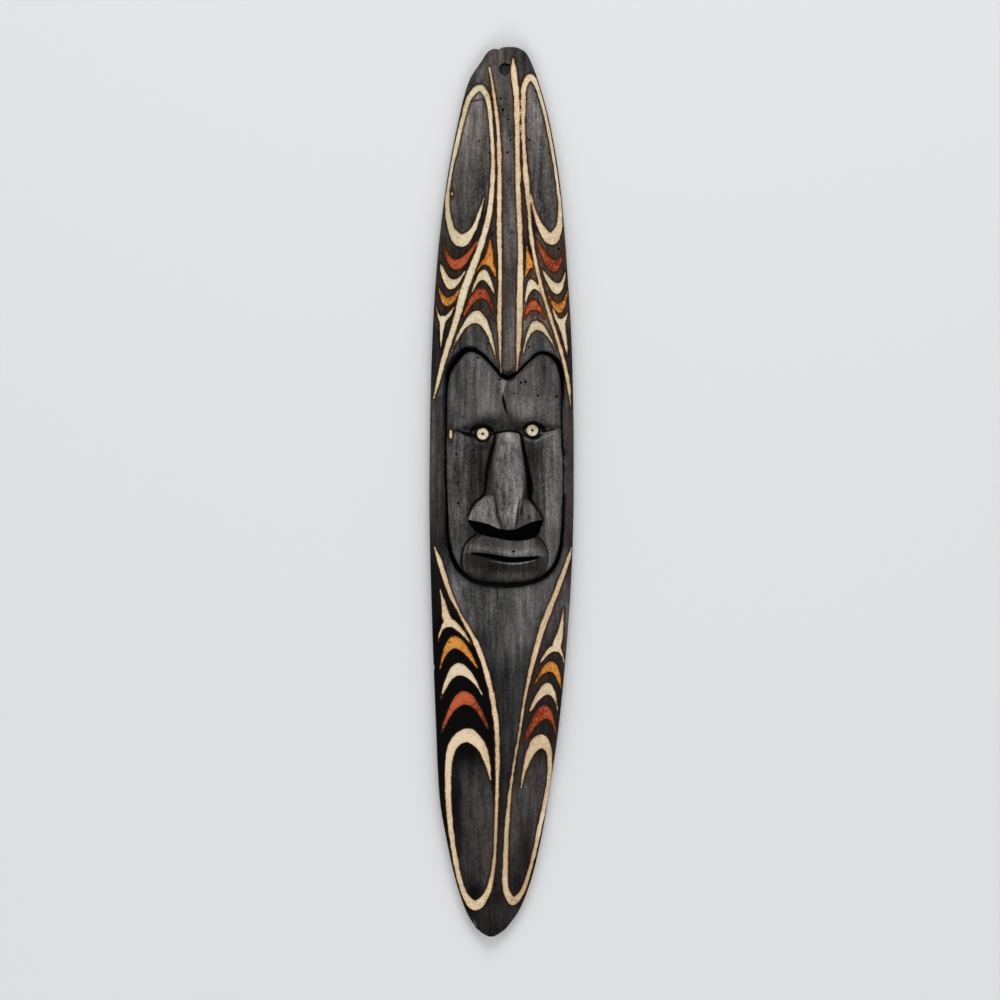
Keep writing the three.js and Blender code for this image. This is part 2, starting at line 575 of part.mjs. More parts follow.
// A painted shape's cutter, sunk into the board's surface and shallower where the shape is thin
function patternCutter(edges) {
  return channel(edges, {
    surfaceAt: (middle) => frontHeight(middle.x, middle.y),
    depthAt: (surface, half) => Math.min(PATTERN_GROOVE_DEPTH, 2 * half),
    floorHalf: (half) => half - Math.min(PATTERN_GROOVE_WALL, half / 2),
    above: CUT_CLEARANCE,
  });
}

// The groove round the face, from the surface of the board beside it
function faceGrooveCutter() {
  return channel(lineEdges(linePoints(FACE_OUTLINE, OUTLINE_STEPS, true), true), {
    surfaceAt: (middle) => boardHeight(middle.x, middle.y),
    depthAt: () => FACE_GROOVE_DEPTH,
    floorHalf: (half) => FACE_GROOVE_FLOOR_SHARE * half,
    above: FOREHEAD_RISE + CUT_CLEARANCE,
    closed: true,
  });
}

// The deep cut between the foot of the nose and the top of the lips
function noseUndercutCutter() {
  const [from] = NOSE_FOOT_LINE[0];
  const [to] = NOSE_FOOT_LINE[NOSE_FOOT_LINE.length - 1];
  const edges = [];
  for (let i = 0; i <= UNDERCUT_STEPS; i += 1) {
    const p = lerp(from, to, i / UNDERCUT_STEPS);
    const foot = up(between(NOSE_FOOT_LINE, p));
    const lip = Math.min(up(between(LIP_TOP_LINE, p)), foot - TIP_BREADTH);
    const x = across(p + FACE_MIDDLE);
    edges.push([{ x, y: foot }, { x, y: lip }]);
  }
  return channel(edges, {
    surfaceAt: () => CENTRE_THICKNESS,
    depthAt: (surface) => surface - NOSE_UNDERCUT_FLOOR,
    floorHalf: (half) => NOSE_UNDERCUT_FLOOR_SHARE * half,
    above: NOSE_TIP_RISE + CUT_CLEARANCE,
  });
}

// The slit between the lips
function mouthCutter() {
  return channel(lineEdges(linePoints(MOUTH_SLIT, MOUTH_STEPS)), {
    surfaceAt: () => CENTRE_THICKNESS + LIP_RISE,
    depthAt: (surface) => surface - MOUTH_FLOOR,
    floorHalf: (half) => MOUTH_FLOOR_SHARE * half,
    above: CUT_CLEARANCE,
  });
}

// The carved board with all its cuts
function carvedBoard() {
  const cutters = [faceGrooveCutter(), noseUndercutCutter(), mouthCutter()];
  for (const stations of Object.values(BANDS)) {
    const steps = Math.round(STEPS_PER_STATION * (stations.length - 1));
    cutters.push(patternCutter(lineEdges(linePoints(stations, steps))));
  }
  for (const crescent of CRESCENTS) cutters.push(patternCutter(crescentEdges(crescent)));
  for (const eye of EYES) {
    const diameter = EYE_DISC_DIAMETER + 2 * FIT_CLEARANCE;
    cutters.push(roundCutter(diameter, across(eye.across), up(eye.up), EYE_SOCKET_FLOOR, CUT_ABOVE));
  }
  const hole = HANGING_HOLE;
  cutters.push(roundCutter(HANGING_HOLE_DIAMETER, across(hole.across), up(hole.up), -CUT_ABOVE, CUT_ABOVE));
  return cutters.reduce((board, cutter) => board.subtract(cutter), blank());
}

// A geometry from a joined or cut solid
function geometryOf(cut) {
  const mesh = cut.getMesh();
  const geometry = new THREE.BufferGeometry();
  geometry.setAttribute('position', new THREE.BufferAttribute(new Float32Array(mesh.vertProperties), 3));
  geometry.setIndex(new THREE.BufferAttribute(new Uint32Array(mesh.triVerts), 1));
  return geometry;
}

// One eye: a round shell disc with a small drilled dimple
function eyeDiscGeometry() {
  const radius = EYE_DISC_DIAMETER / 2;
  const profile = [
    [0, 0],
    [radius, 0],
    [radius, EYE_DISC_THICKNESS - EYE_DISC_BEVEL],
    [radius - EYE_DISC_BEVEL, EYE_DISC_THICKNESS],
    [EYE_DIMPLE_DIAMETER / 2, EYE_DISC_THICKNESS],
    [EYE_DIMPLE_DIAMETER / 3, EYE_DISC_THICKNESS - EYE_DIMPLE_DEPTH],
    [0, EYE_DISC_THICKNESS - EYE_DIMPLE_DEPTH],
  ];
  const geometry = new THREE.LatheGeometry(profile.map(([r, h]) => new THREE.Vector2(r, h)), ROUND_SIDES);
  geometry.rotateX(Math.PI / 2);
  return geometry;
}

const part = new THREE.Group();

const carving = new THREE.Group();
carving.position.y = -BOARD_LENGTH / 2;
part.add(carving);

const stainedWood = new THREE.MeshStandardMaterial({ color: 0x45403e, roughness: 0.55, metalness: 0 });
const board = new THREE.Mesh(geometryOf(carvedBoard()), stainedWood);
board.name = 'carved_board';
carving.add(board);

for (const eye of EYES) {
  const shell = new THREE.MeshStandardMaterial({ color: 0xd8cdae, roughness: 0.4, metalness: 0 });
  const disc = new THREE.Mesh(eyeDiscGeometry(), shell);
  disc.name = eye.name;
  disc.position.set(across(eye.across), up(eye.up), EYE_SOCKET_FLOOR + FIT_CLEARANCE);
  carving.add(disc);
}

export default part;
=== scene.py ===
"""A long carved and painted spirit board with a face in relief, lying on its back.

Millimetres are used for the carving, as in the carved solid, and turned to metres when the meshes are made.
X runs across the board, Y from its foot up to its hanging hole, Z out of its face.
"""
import math

import bpy
import numpy as np
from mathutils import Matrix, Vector
from mathutils.geometry import delaunay_2d_cdt


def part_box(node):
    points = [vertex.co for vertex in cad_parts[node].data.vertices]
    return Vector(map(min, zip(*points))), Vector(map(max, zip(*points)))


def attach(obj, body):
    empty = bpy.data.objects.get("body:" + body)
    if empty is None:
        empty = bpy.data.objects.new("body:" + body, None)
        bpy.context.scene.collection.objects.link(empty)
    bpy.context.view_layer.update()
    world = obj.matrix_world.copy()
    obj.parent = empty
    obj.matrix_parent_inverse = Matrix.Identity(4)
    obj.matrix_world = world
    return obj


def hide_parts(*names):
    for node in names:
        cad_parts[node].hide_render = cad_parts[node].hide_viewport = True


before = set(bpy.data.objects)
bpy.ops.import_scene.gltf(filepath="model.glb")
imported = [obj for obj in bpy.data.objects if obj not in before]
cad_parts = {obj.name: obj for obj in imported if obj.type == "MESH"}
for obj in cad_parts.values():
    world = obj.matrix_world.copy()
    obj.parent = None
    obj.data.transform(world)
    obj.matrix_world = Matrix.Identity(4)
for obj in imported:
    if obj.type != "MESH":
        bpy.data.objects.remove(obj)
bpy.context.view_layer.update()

MM = 0.001
SEED = 7
TINY = 1e-9
SMALLEST_GAP = 1e-6
MERGE_DISTANCE = 1e-5

# The board's frame: its box, in millimetres
board_low, board_high = (np.array(corner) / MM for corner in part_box("carved_board"))
BOARD_WIDTH = board_high[0] - board_low[0]
BOARD_LENGTH = board_high[1] - board_low[1]
BOARD_MIDDLE_X = (board_high[0] + board_low[0]) / 2
FOOT_Y = board_low[1]

# Thicknesses
EDGE_THICKNESS = 8.5
END_EDGE_THICKNESS = 6
CENTRE_THICKNESS = 16.5
END_CENTRE_THICKNESS = 9.5
END_TAPER_LENGTH = 150
EDGE_ROUNDING = 1.4
SECTION_FULLNESS = 2.4
# The rounded upper edge: how far in, as a share of the rounding, and how far down each ring lies
ROUNDED_EDGE = [(0.6, 0.35), (0.15, 0.9), (0.0, 1.7)]
# The side below it: how far in, and how high above the back, each ring lies
LOWER_EDGE = [(0, 4.0), (0, 1.2), (0.4, 0.3)]
BACK_INSET = 1.0
BACK_UNEVENNESS = 0.35

# Heights in the face, measured from the board's centre thickness
FOREHEAD_RISE = 3.2
BROW_CREASE_DEPTH = 2.2
CHEEK_RIM_DROP = 0.6
CHEEK_HOLLOW_DROP = 4.6
NOSE_ROOT_RISE = 0.8
NOSE_TIP_RISE = 9.6
NOSE_CROWN = 1.6
WING_RISE = 4.2
LIP_RISE = 3.4
CHIN_DROP = 1.6
FACE_ROLL = 2.6
FACE_ROLL_WIDTH = 4.5

# How the face's forms run into one another, in hundredths of the board's width, and how full its wings are
CHEEK_SLOPE = (9, 34)
BROW_CREASE_HALF_WIDTH = 3.5
FOREHEAD_HALF_WIDTH = 44
WING_FULLNESS = 0.8

# Cuts
FACE_GROOVE_DEPTH = 4.2
PATTERN_GROOVE_DEPTH = 0.9
GROOVE_WALL = 0.45
NOSE_UNDERCUT_FLOOR = 9.5
MOUTH_DEPTH = 3.2
NECK_DROP = 4.4
HANGING_HOLE_DIAMETER = 6
EYE_DISC_DIAMETER = 8
EYE_DISC_THICKNESS = 2.4
EYE_DIMPLE_DIAMETER = 1.3
EYE_DIMPLE_DEPTH = 0.9
EYE_SOCKET_FLOOR = 11.6
EYE_HOLLOW_DEPTH = 1.4
FIT_CLEARANCE = 0.3
FACE_GROOVE_WALL = (-0.3, 1.1)
MOUTH_WALL = 0.8
HOLE_FLARE = 0.12
HOLE_EDGE_DROP = 0.4
WORM_HOLE_DEPTH = 1.2
WORM_HOLE_WALL = (0.55, 0.95)

# How finely the board is meshed: the steps between points, in millimetres
FACE_POINT_STEP = 0.5
FRONT_POINT_STEP = 0.95
LINE_POINT_STEP = 0.8
MOUTH_POINT_STEP = 0.6
BACK_POINT_STEP = 5
OUTLINE_POINT_STEP = 1.1
# How far points stay from the edges of things, and how far the close points reach round the face
EDGE_CLEARANCE = 0.5
PAINT_EDGE_CLEARANCE = 0.3
WALL_FOOT_CLEARANCE = 0.25
BACK_POINT_INSET = 3.0
BACK_HOLE_CLEARANCE = 1.5
FACE_MARGIN = 2
# Shares of a step, of a worm hole's diameter or radius, of a line's breadth and of a crescent's length
ROW_SPACING = 0.87
POINT_SHIFT = 0.12
WORM_HOLE_CLEARANCE = 0.9
WORM_HOLE_RINGS = (0.45, 0.95, 1.25)
BROADEST_WALL_SHARE = 0.36
CRESCENT_LENGTH_SHARE = 1.4
# How many points or sides some things have, and the share of the length at each end with closer points
END_POINTS = 22
FOOT_POINTS = 6
TOP_POINTS = 8
HOLE_SIDES = 48
DISC_SIDES = 64
WORM_HOLE_SIDES = 10
FEWEST_CRESCENT_STEPS = 14
ROUNDED_END = 3
# Angles above which an edge is sharp
BOARD_SHARP_ANGLE = 48
EYE_SHARP_ANGLE = 40
THINNEST_LINE = 0.1
# How far from a line its distance is worked out, and how far a line's points reach
LINE_REACH = 6.0
FACE_REACH = 8.0
LINE_PAIR_REACH = 4.0
WIDEST_HALF_LINE = 4
LONGEST_HALF_STEP = 2

# Places are shares of the board, as on the carved solid: across, in hundredths of its width from the
# middle, and up, in hundredths of its length from the foot. Breadths of lines are in millimetres.
LEFT_EDGE = [
    (0, -8.7), (0.2, -11.5), (0.6, -15.4), (1, -18.2), (3, -25), (6.4, -32), (10.9, -38.1), (15.4, -42.8),
    (24.4, -45.6), (37.8, -48.6), (49.1, -50), (64.8, -48.5), (76, -44.5), (85, -37.8), (91.8, -29.8),
    (96.3, -22.3), (98.5, -13.6), (99.4, -9.9), (99.8, -5.6), (100, 3.5),
]
RIGHT_EDGE = [
    (0, -5.9), (0.2, -3), (0.6, 0.8), (1, 3.6), (3, 12.4), (6.4, 20.6), (10.9, 27.3), (15.4, 32.2),
    (24.4, 40.2), (37.8, 47.4), (49.1, 50), (64.8, 49), (76, 45.1), (85, 40.2), (91.8, 33), (96.3, 25.3),
    (98.5, 20), (99.4, 16.8), (99.8, 13.2), (100, 9.5),
]
HANGING_HOLE = (2.5, 97.5)
# Nicks and chips in the outline: across, up, half-width and depth in millimetres
NICKS = [(-2.1, 99.85, 1.2, 1), (-46, 30.3, 1.4, 0.8), (-18.7, 1.3, 1, 0.5), (-16, 0.75, 0.9, 0.4)]

# The carved and painted lines: across, up and breadth at each station
BANDS = {
    "upper_left": [
        (-12, 83, 0.4), (-15, 81.4, 1.5), (-20, 79.3, 3.2), (-28, 78.2, 7.4), (-34.5, 79.4, 4.1),
        (-37.5, 82, 2.6), (-36, 85.5, 2.3), (-31, 89, 2.4), (-26, 92.4, 2.4), (-21.5, 94.5, 3.2),
        (-15, 95.4, 4), (-10.4, 94.5, 3), (-7.2, 91, 2.1), (-6, 85.5, 2.4), (-9, 80.8, 3.2),
        (-14, 77.8, 3.4), (-25.5, 72.7, 4.4), (-31, 69.5, 3.4), (-40.5, 64.6, 2.7), (-44.5, 62, 1.8),
        (-47, 60.5, 0.3),
    ],
    "upper_right": [
        (20, 83.6, 0.4), (23, 81.4, 1.8), (28.5, 79.3, 4.2), (34.5, 78.4, 7.2), (39.5, 79.6, 4.1),
        (40.5, 81.8, 2.1), (38, 85.5, 1.7), (31.5, 91.6, 2.2), (27.5, 94.2, 2.4), (24.5, 95.7, 3),
        (20, 96.6, 3.8), (16.3, 95.8, 3.2), (15, 93, 2.3), (15.5, 88.5, 2.1), (17.7, 84.1, 3),
        (19, 81.4, 1.7), (20.7, 78.5, 2), (27, 73.3, 1.8), (42, 65.3, 1.8), (46.3, 62.2, 1.8),
        (48, 59.4, 0.3),
    ],
    "lower_left": [
        (-46.5, 43.8, 0.3), (-43.5, 42.5, 2.4), (-35.5, 38.6, 2.2), (-29, 36.4, 1.3), (-16.5, 32.6, 2.8),
        (-8.5, 28.5, 2.7), (-3.7, 24, 2.8), (-2.8, 20.5, 2.4), (-3.8, 13, 1.7), (-5.3, 8.4, 1.7),
        (-10, 4.9, 3.3), (-18.3, 3.5, 5.6), (-25, 4.6, 3.2), (-30, 7.1, 2.7), (-35, 12, 3),
        (-37, 17, 3.5), (-36, 20.2, 4.3), (-32, 21.9, 6), (-23.5, 22.7, 8.2), (-15, 21.7, 5.8),
        (-10.5, 20, 3.7), (-7.5, 17.7, 0.4),
    ],
    "lower_right": [
        (48.5, 43.8, 0.4), (46, 42.3, 2), (37.5, 38.6, 2.8), (28, 34.6, 3.4), (21.5, 30.8, 2.5),
        (16.5, 27.2, 1.5), (12.5, 23.1, 1.1), (7, 17.7, 1.2), (4, 13, 2.4), (2.7, 8.5, 2.9),
        (3.3, 5.2, 3.6), (8, 4, 4.5), (13.5, 4.8, 2.8), (20, 7.7, 1.9), (27, 12.7, 2.5),
        (32.5, 17.1, 2.5), (33.5, 19.6, 2.6), (32, 21.2, 4), (27, 22, 8), (21, 21, 4.9),
        (16.5, 19.1, 2.4), (13.5, 16.8, 0.3),
    ],
    "left_middle": [
        (-8.4, 97.7, 0.5), (-6, 95.4, 1.4), (-3, 91.8, 1.9), (-1.5, 87.3, 2.3), (-1.6, 80.5, 2.7),
        (-1, 74, 2), (-1.4, 69.3, 2.3), (-0.5, 63.3, 0.5),
    ],
    "right_middle": [
        (8, 98.7, 0.6), (8.2, 97.6, 3), (10.3, 94.2, 3.3), (11, 89, 2.7), (11.6, 83, 2.8),
        (13, 77.5, 2.8), (12.8, 73.5, 3.5), (11.8, 67, 2.8), (10.6, 63.5, 0.5),
    ],
}
TAILS = [
    ("cream", [(-42.5, 39, 0.3), (-40, 37.4, 2.4), (-38.3, 36, 4.6), (-36.3, 35.3, 5)]),
    ("cream", [(43, 36.9, 0.3), (41, 34.6, 2.7), (39, 33.2, 4.9), (37.5, 32.5, 4.5)]),
    ("cream", [(-40.5, 69.4, 4), (-41.5, 68, 1.8), (-42, 66.3, 0.3)]),
    ("cream", [(41.5, 69, 4.5), (43.3, 67.6, 2.6), (45.5, 65.4, 0.3)]),
    ("orange", [(-8, 78.5, 0.3), (-8, 77.3, 2.7), (-8.7, 75.9, 5.5)]),
    ("orange", [(17.5, 77.5, 0.3), (18, 76.7, 1.7), (19.3, 75.6, 4.2)]),
]

# How full a crescent's arms are: 1 thins them evenly from crown to tip, and less keeps them broad longer
CRESCENT_FULLNESS = 0.66

# The crescents in each column: colour, left tip, right tip, crown and greatest breadth
CRESCENTS = [
    # lower left
    ("cream", (-44, 33.2), (-21, 32.9), (-36, 35.3), 4.6),
    ("orange", (-42.5, 30.2), (-16.5, 30.2), (-32.5, 33.1), 7.4),
    ("cream", (-42, 26.8), (-13.5, 27.3), (-29.5, 30.1), 7.4),
    ("red", (-41.5, 23), (-9.5, 23.5), (-26, 26.9), 7.6),
    # lower right
    ("cream", (26.5, 30.8), (43.5, 30.7), (37.5, 32.5), 3.6),
    ("orange", (23, 28.5), (41.5, 27.8), (34.5, 30.4), 6.2),
    ("cream", (19.5, 25.4), (39, 25.4), (32, 27.9), 7.2),
    ("red", (15.5, 21.9), (38.5, 22.2), (30, 25.3), 8),
    # upper left, beside the edge
    ("red", (-40.5, 78), (-16.5, 78.1), (-31.5, 75.5), 6.2),
    ("cream", (-42.5, 75.6), (-25.5, 74.7), (-35, 73.3), 6),
    ("orange", (-43.5, 72.9), (-29, 72.7), (-37.5, 71.3), 5.2),
    ("cream", (-45.3, 70.8), (-33, 70.7), (-40.8, 69.3), 3.6),
    # upper right, beside the edge
    ("red", (24, 78.3), (43.5, 77.8), (36.5, 75.3), 6.6),
    ("cream", (28, 75), (44.5, 74.9), (38.5, 72.8), 6.4),
    ("orange", (31.5, 72.4), (46, 72.7), (40, 70.6), 5.4),
    ("cream", (35.4, 70.6), (46.5, 70.5), (41, 69), 4),
    # upper left, beside the middle
    ("orange", (-17, 74.8), (-4, 74.1), (-9.5, 75.9), 4.6),
    ("cream", (-20.5, 72.4), (-5, 72.2), (-12.5, 74.3), 6.3),
    ("red", (-26, 69.8), (-5.5, 70), (-14, 72.3), 6),
    ("cream", (-34.5, 65.8), (-4, 65), (-17, 69.6), 7.2),
    # upper right, beside the middle
    ("orange", (16.5, 74.1), (23, 74.6), (19.5, 75.5), 3.8),
    ("cream", (16.5, 71.2), (28.5, 71.8), (21, 73.3), 5.8),
    ("red", (15.5, 69.3), (30, 69.5), (22, 71), 5.8),
    ("cream", (15, 65.5), (37.5, 65.9), (24, 68.7), 5.4),
]

# The face: its heart-shaped outline, and the lines that its features follow
FACE_MIDDLE = 2.4
FACE_OUTLINE = [
    (5.1, 62.8, 2.7), (0.4, 63, 2.6), (-5.9, 64.1, 1.8), (-12.4, 65.2, 1.9), (-19.4, 65.9, 2.6),
    (-25.3, 65.8, 3.3), (-31.6, 64.7, 3), (-35.8, 63.5, 2.3), (-37.8, 61.8, 1.2), (-38.4, 57.3, 1.1),
    (-38.6, 52.5, 1.1), (-37.7, 47.8, 1.2), (-36.8, 44.6, 1.6), (-33.6, 42.5, 2.5), (-28.6, 41.1, 2.7),
    (-19, 40, 2.5), (-8, 39.6, 2.8), (4, 39.5, 3), (16, 39.7, 2.8), (26.5, 40.2, 2.7), (34.5, 41.2, 2.4),
    (39.6, 42.9, 2.2), (41.8, 45.2, 1.7), (42.6, 49.2, 1), (42.8, 53.8, 1), (41.9, 55.2, 1),
    (41.4, 58.5, 0.8), (41.6, 61.6, 1.1), (41, 63.4, 2.6), (37.8, 64.7, 2.7), (31.4, 65.5, 2),
    (25.5, 65.5, 1.6), (18.6, 64.6, 1.3), (12.4, 63.6, 1.3),
]
BROW_LINE = [
    (-40.5, 56.6), (-33.4, 56.9), (-26.1, 57.5), (-18.7, 58), (-12.6, 58.4), (-4, 58.9), (0.3, 59.5),
    (4.6, 58.9), (10.6, 58.1), (18, 57.9), (27.8, 57.5), (38, 57.1),
]
EYE_LINE = [(-38, 56.4), (-28, 56.9), (-16, 56.3), (0, 56.7), (19, 56.9), (38, 57.1)]
NOSE_FOOT_LINE = [
    (-25.4, 46.8), (-18.7, 46.6), (-11.4, 46.3), (-4, 45.8), (2.1, 45.7), (8.3, 45.8), (13.2, 46.2),
    (19.3, 46.6), (26.3, 46.8),
]
LIP_TOP_LINE = [
    (-25.4, 46.8), (-22.4, 46), (-18.7, 45.4), (-12.6, 45.1), (-4, 44.8), (3.3, 44.6), (13.1, 44.6),
    (18, 44.8), (22.9, 45.3), (26.3, 46.8),
]
NOSE_MIDDLE = 4.5
NOSE_RIDGE_HALF_WIDTH = [(45.7, 3.6), (46.8, 6.2), (48, 7.8), (49.1, 9), (50.2, 10.4), (51.5, 10.8),
                         (53.6, 10.2),
                         (55.8, 8.4), (56.7, 7.4)]
NOSE_BASE_HALF_WIDTH = [(45.7, 9), (47.5, 13), (49.5, 16.3), (51.3, 14.9), (53.6, 12.7), (56.7, 8.8)]
NOSE_RISE = [(45.7, 0.97), (46.6, 1), (49, 0.86), (52, 0.6), (56.4, 0)]
NOSE_WINGS = [(-13.9, 46.6, 14.2, 3), (11.1, 46.6, 13.3, 2.6)]
NOSE_UNDERCUT_MIDDLE = 0.4
NOSE_UNDERCUT_HALF_WIDTH = 25.8
LIPS = (-0.6, 42.4, 30, 3.7)
MOUTH_SLIT = [(-20.5, 43.1, 0.6), (-11.5, 42.9, 1.9), (6, 42.4, 2.6), (18.5, 42.5, 2.1), (25.5, 42.7, 0.6)]
EYES = {"left_eye_disc": (-13, 56.5), "right_eye_disc": (21.4, 56.9)}
EYE_HOLLOW_HALF_WIDTH = 13
EYE_HOLLOW_HALF_HEIGHT = 1
NECK_TOP = 39.6
NECK_FOOT = 25
NECK_EDGES = [(24, 6), (28, 10), (32.6, 18), (38.6, 33), (42, 42)]
NECK_MIDDLE = 3.6
NECK_SIDE_SLOPE = 7
NECK_EASE = 1.5
NECK_END = (0.6, 4)

# Dark stain with painted shade in the face's seams, creases and eye hollows: its strength, how soft its
# edge is in millimetres, and its stations
FACE_STAIN_AND_SHADE_LINES = [
    (1, 0.7, [(-4.4, 56.3, 1), (-5.8, 55.3, 1.7), (-8.1, 54, 2), (-10.2, 52.4, 2), (-11.2, 50.9, 1.7),
              (-12.6, 49.6, 1.3), (-17.6, 48.9, 1.4), (-21.3, 48, 1), (-23.2, 47.2, 0.5)]),
    (1, 0.7, [(13.6, 56.3, 1.2), (15.2, 54.9, 2), (17.4, 53.2, 2.2), (19.4, 51.4, 2.8), (20, 50.2, 3.4),
              (19.8, 49.3, 2.4), (23.2, 48.4, 1.2), (27, 47.5, 0.8), (28.7, 46.9, 0.4)]),
    (0.55, 0.8, [(-5.3, 49.3, 0.4), (-3.6, 48.2, 0.7), (-2.2, 47, 0.3)]),
    (0.95, 0.6, [(12.8, 49.2, 0.3), (11.6, 48.2, 0.9), (10.6, 47, 0.9), (9.8, 46.3, 0.5)]),
    (1, 0.4, [(-31.9, 56.95, 0.4), (-28.8, 56.75, 1.1), (-25.3, 56.55, 2.3), (-21.9, 56.4, 2.7),
              (-18.7, 56.2, 1.2)]),
    (1, 0.4, [(-22.2, 56.6, 0.9), (-20.1, 57, 1.8), (-17, 57.35, 2), (-13.2, 57.45, 1.9), (-9.4, 57.25, 2),
              (-6.6, 56.95, 1.8), (-5.2, 56.6, 0.8)]),
    (0.95, 0.4, [(-18.7, 56.55, 0.6), (-17.7, 56.15, 1), (-15.6, 55.85, 1.1), (-13.2, 55.7, 1),
                 (-10.4, 55.85, 1),
                 (-8.7, 56.2, 0.8), (-8.1, 56.6, 0.6)]),
    (1, 0.4, [(28.7, 56.8, 1.3), (32.2, 56.85, 1), (35, 56.95, 0.7), (37.7, 57, 0.4)]),
    (1, 0.4, [(14.9, 56.8, 0.9), (15.6, 57.15, 1.2), (17.6, 57.5, 1.6), (20.4, 57.75, 1.7),
              (23.9, 57.7, 1.7),
              (26.6, 57.45, 2.1), (28.7, 57.1, 2.5), (29.8, 56.8, 1.6)]),
    (0.95, 0.4, [(15.8, 56.65, 1.2), (17.3, 56.3, 1), (19.7, 56.1, 1), (22.5, 56, 1), (25.3, 56.1, 1.2),
                 (27.3, 56.4, 1)]),
    (0.95, 0.5, [(-7.4, 56.4, 1.2), (-3.6, 56.6, 1.2), (4, 56.8, 1.2), (10.7, 56.7, 1.4), (15.6, 56.2, 1)]),
    (1, 0.4, [(0.9, 60.8, 0.5), (1.3, 60.3, 1.7), (2.1, 59.7, 1.6), (2.9, 59.2, 1.1), (4, 58.8, 0.4)]),
    (0.5, 0.4, [(3.8, 62.6, 0.6), (2.7, 61.8, 0.5), (1.2, 60.8, 0.4)]),
    (0.8, 0.4, [(14.2, 48.4, 0.3), (13.9, 47.9, 0.9), (13.6, 47.4, 0.3)]),
    (0.7, 0.4, [(18.8, 47.5, 0.3), (19, 47.2, 0.8), (19, 46.9, 0.3)]),
    (0.85, 0.5, [(-17.6, 45.2, 0.8), (-22.4, 44.7, 1), (-25.5, 44, 0.9), (-27.4, 43, 1.1), (-27.8, 42, 1.4),
                 (-26.8, 41.2, 0.5)]),
    (0.8, 0.5, [(25.3, 44.9, 0.8), (28.4, 44.4, 0.9), (30.8, 43.8, 0.8), (31.9, 43, 0.7), (31.6, 42, 0.6),
                (30, 41.2, 0.3)]),
]
# Painted shade: the mouth slit's soft edge, the shadow under the nose, the eyes' rims and the holes
MOUTH_SHADE_SOFTNESS = 0.7
UNDERCUT_SHADOW = (-0.7, 0.3)
EYE_RIM_STAIN_AND_SHADE = 0.5
HOLE_SHADE = 0.97
HOLE_SHADE_MARGIN = 0.13
# Painted shade with dark stain outside the face along its outline, and short open cracks in the wood drawn
# as dark lines of painted shade, in the same way
OUTER_STAIN_AND_SHADE_LINES = [
    (0.9, 0.9, [(36, 65.3, 0.4), (39.8, 64.6, 1.6), (42.2, 63.2, 2.2), (42.8, 61.6, 1.5), (42.4, 60, 0.4)]),
    (0.9, 0.9, [(-27, 65.9, 0.4), (-32.5, 65.3, 1.2), (-36.6, 64.2, 1.6), (-38.8, 62.6, 1.4),
                (-39, 60.6, 0.4)]),
    (0.7, 1.2, [(-6, 64.8, 0.4), (0, 63.7, 1), (5, 63.4, 1.4), (9, 63.9, 1), (12, 64.4, 0.4)]),
    (0.8, 0.4, [(5.6, 79, 0.3), (7.4, 79.1, 0.9), (9.6, 78.9, 0.4)]),
    (0.5, 0.4, [(6.4, 61.2, 0.3), (8.6, 61, 0.7), (12, 61, 0.3)]),
    (0.6, 0.4, [(-24.6, 62.9, 0.3), (-24.3, 62.2, 0.7), (-24.9, 61.5, 0.3)]),
    (0.6, 0.4, [(5.2, 90.7, 0.3), (5.3, 90.2, 0.8), (5.1, 89.8, 0.3)]),
    (0.6, 0.4, [(-12, 7.3, 0.3), (-12.1, 7, 0.8), (-12, 6.7, 0.3)]),
    (0.5, 0.4, [(23.5, 34.3, 0.3), (26, 35.8, 0.6), (29, 37.6, 0.3)]),
    (0.75, 0.5, [(-22, 93.8, 0.3), (-17.7, 93.95, 0.7), (-12, 94.1, 0.5), (-8.7, 94.1, 0.3)]),
]
# Drops of pale paint: across, up, half-width and half-height in millimetres
PAINT_DROPS = [(-35, 56.5, 0.9, 2.7), (-34.3, 83.5, 0.5, 1.2)]
PAINT_REACH_DOWN_SIDE = 1.2
EYE_BROWN_RIM_RADIUS = 4.5
EYE_BROWN_RIM_FADE = 0.8
EYE_BROWN_RIM_TONE = 34
EYE_RIM_BROWN = 0.5

# Pale lines: painted highlights on the eyelids, the forehead's facet and the lips, and places rubbed pale
# or lying open: their grey, how soft their edge is and their stations
HIGHLIGHT_AND_RUBBED_STRENGTH = 0.85
HIGHLIGHT_AND_RUBBED_LINES = [
    (122, 0.5, [(13.8, 56.4, 0.6), (16.9, 55.95, 1), (21.1, 55.65, 1.1), (25.3, 55.75, 1.2),
                (29.4, 56.1, 1.6),
                (33.6, 56.4, 1.2), (37.7, 56.9, 0.5)]),
    (92, 0.7, [(-28.1, 56.1, 0.6), (-23.3, 55.85, 0.8), (-19.1, 55.6, 1.2), (-14.9, 55.45, 1.5),
               (-10.8, 55.4, 1.2)]),
    (104, 0.4, [(-21.4, 56.8, 0.5), (-19.6, 56.75, 1), (-18.8, 56.5, 0.6)]),
    (96, 0.5, [(-7.2, 56.6, 0.8), (-6.9, 56.2, 1.6), (-7.6, 55.8, 0.8)]),
    (120, 0.4, [(16.4, 57.1, 0.6), (16.6, 56.8, 1.3), (17.2, 56.5, 0.6)]),
    (118, 0.6, [(1.8, 62.3, 3.6), (1, 61.7, 2.6), (0.4, 61, 0.8)]),
    (104, 0.5, [(-22, 43.9, 0.6), (-12, 43.6, 1), (0, 43.3, 1.1), (9, 43.1, 0.9), (18, 43.3, 0.5)]),
    (116, 0.4, [(-8, 42.3, 0.4), (0, 42.05, 0.7), (8, 41.95, 1), (17, 42.1, 0.8), (23, 42.3, 0.4)]),
    (50, 0.6, [(-5.6, 17.4, 1), (-5, 16, 1.4), (-4.9, 14, 1)]),
    (96, 0.4, [(-19.5, 1.9, 0.4), (-18.4, 1.5, 1.3), (-17.6, 1, 0.6)]),
]
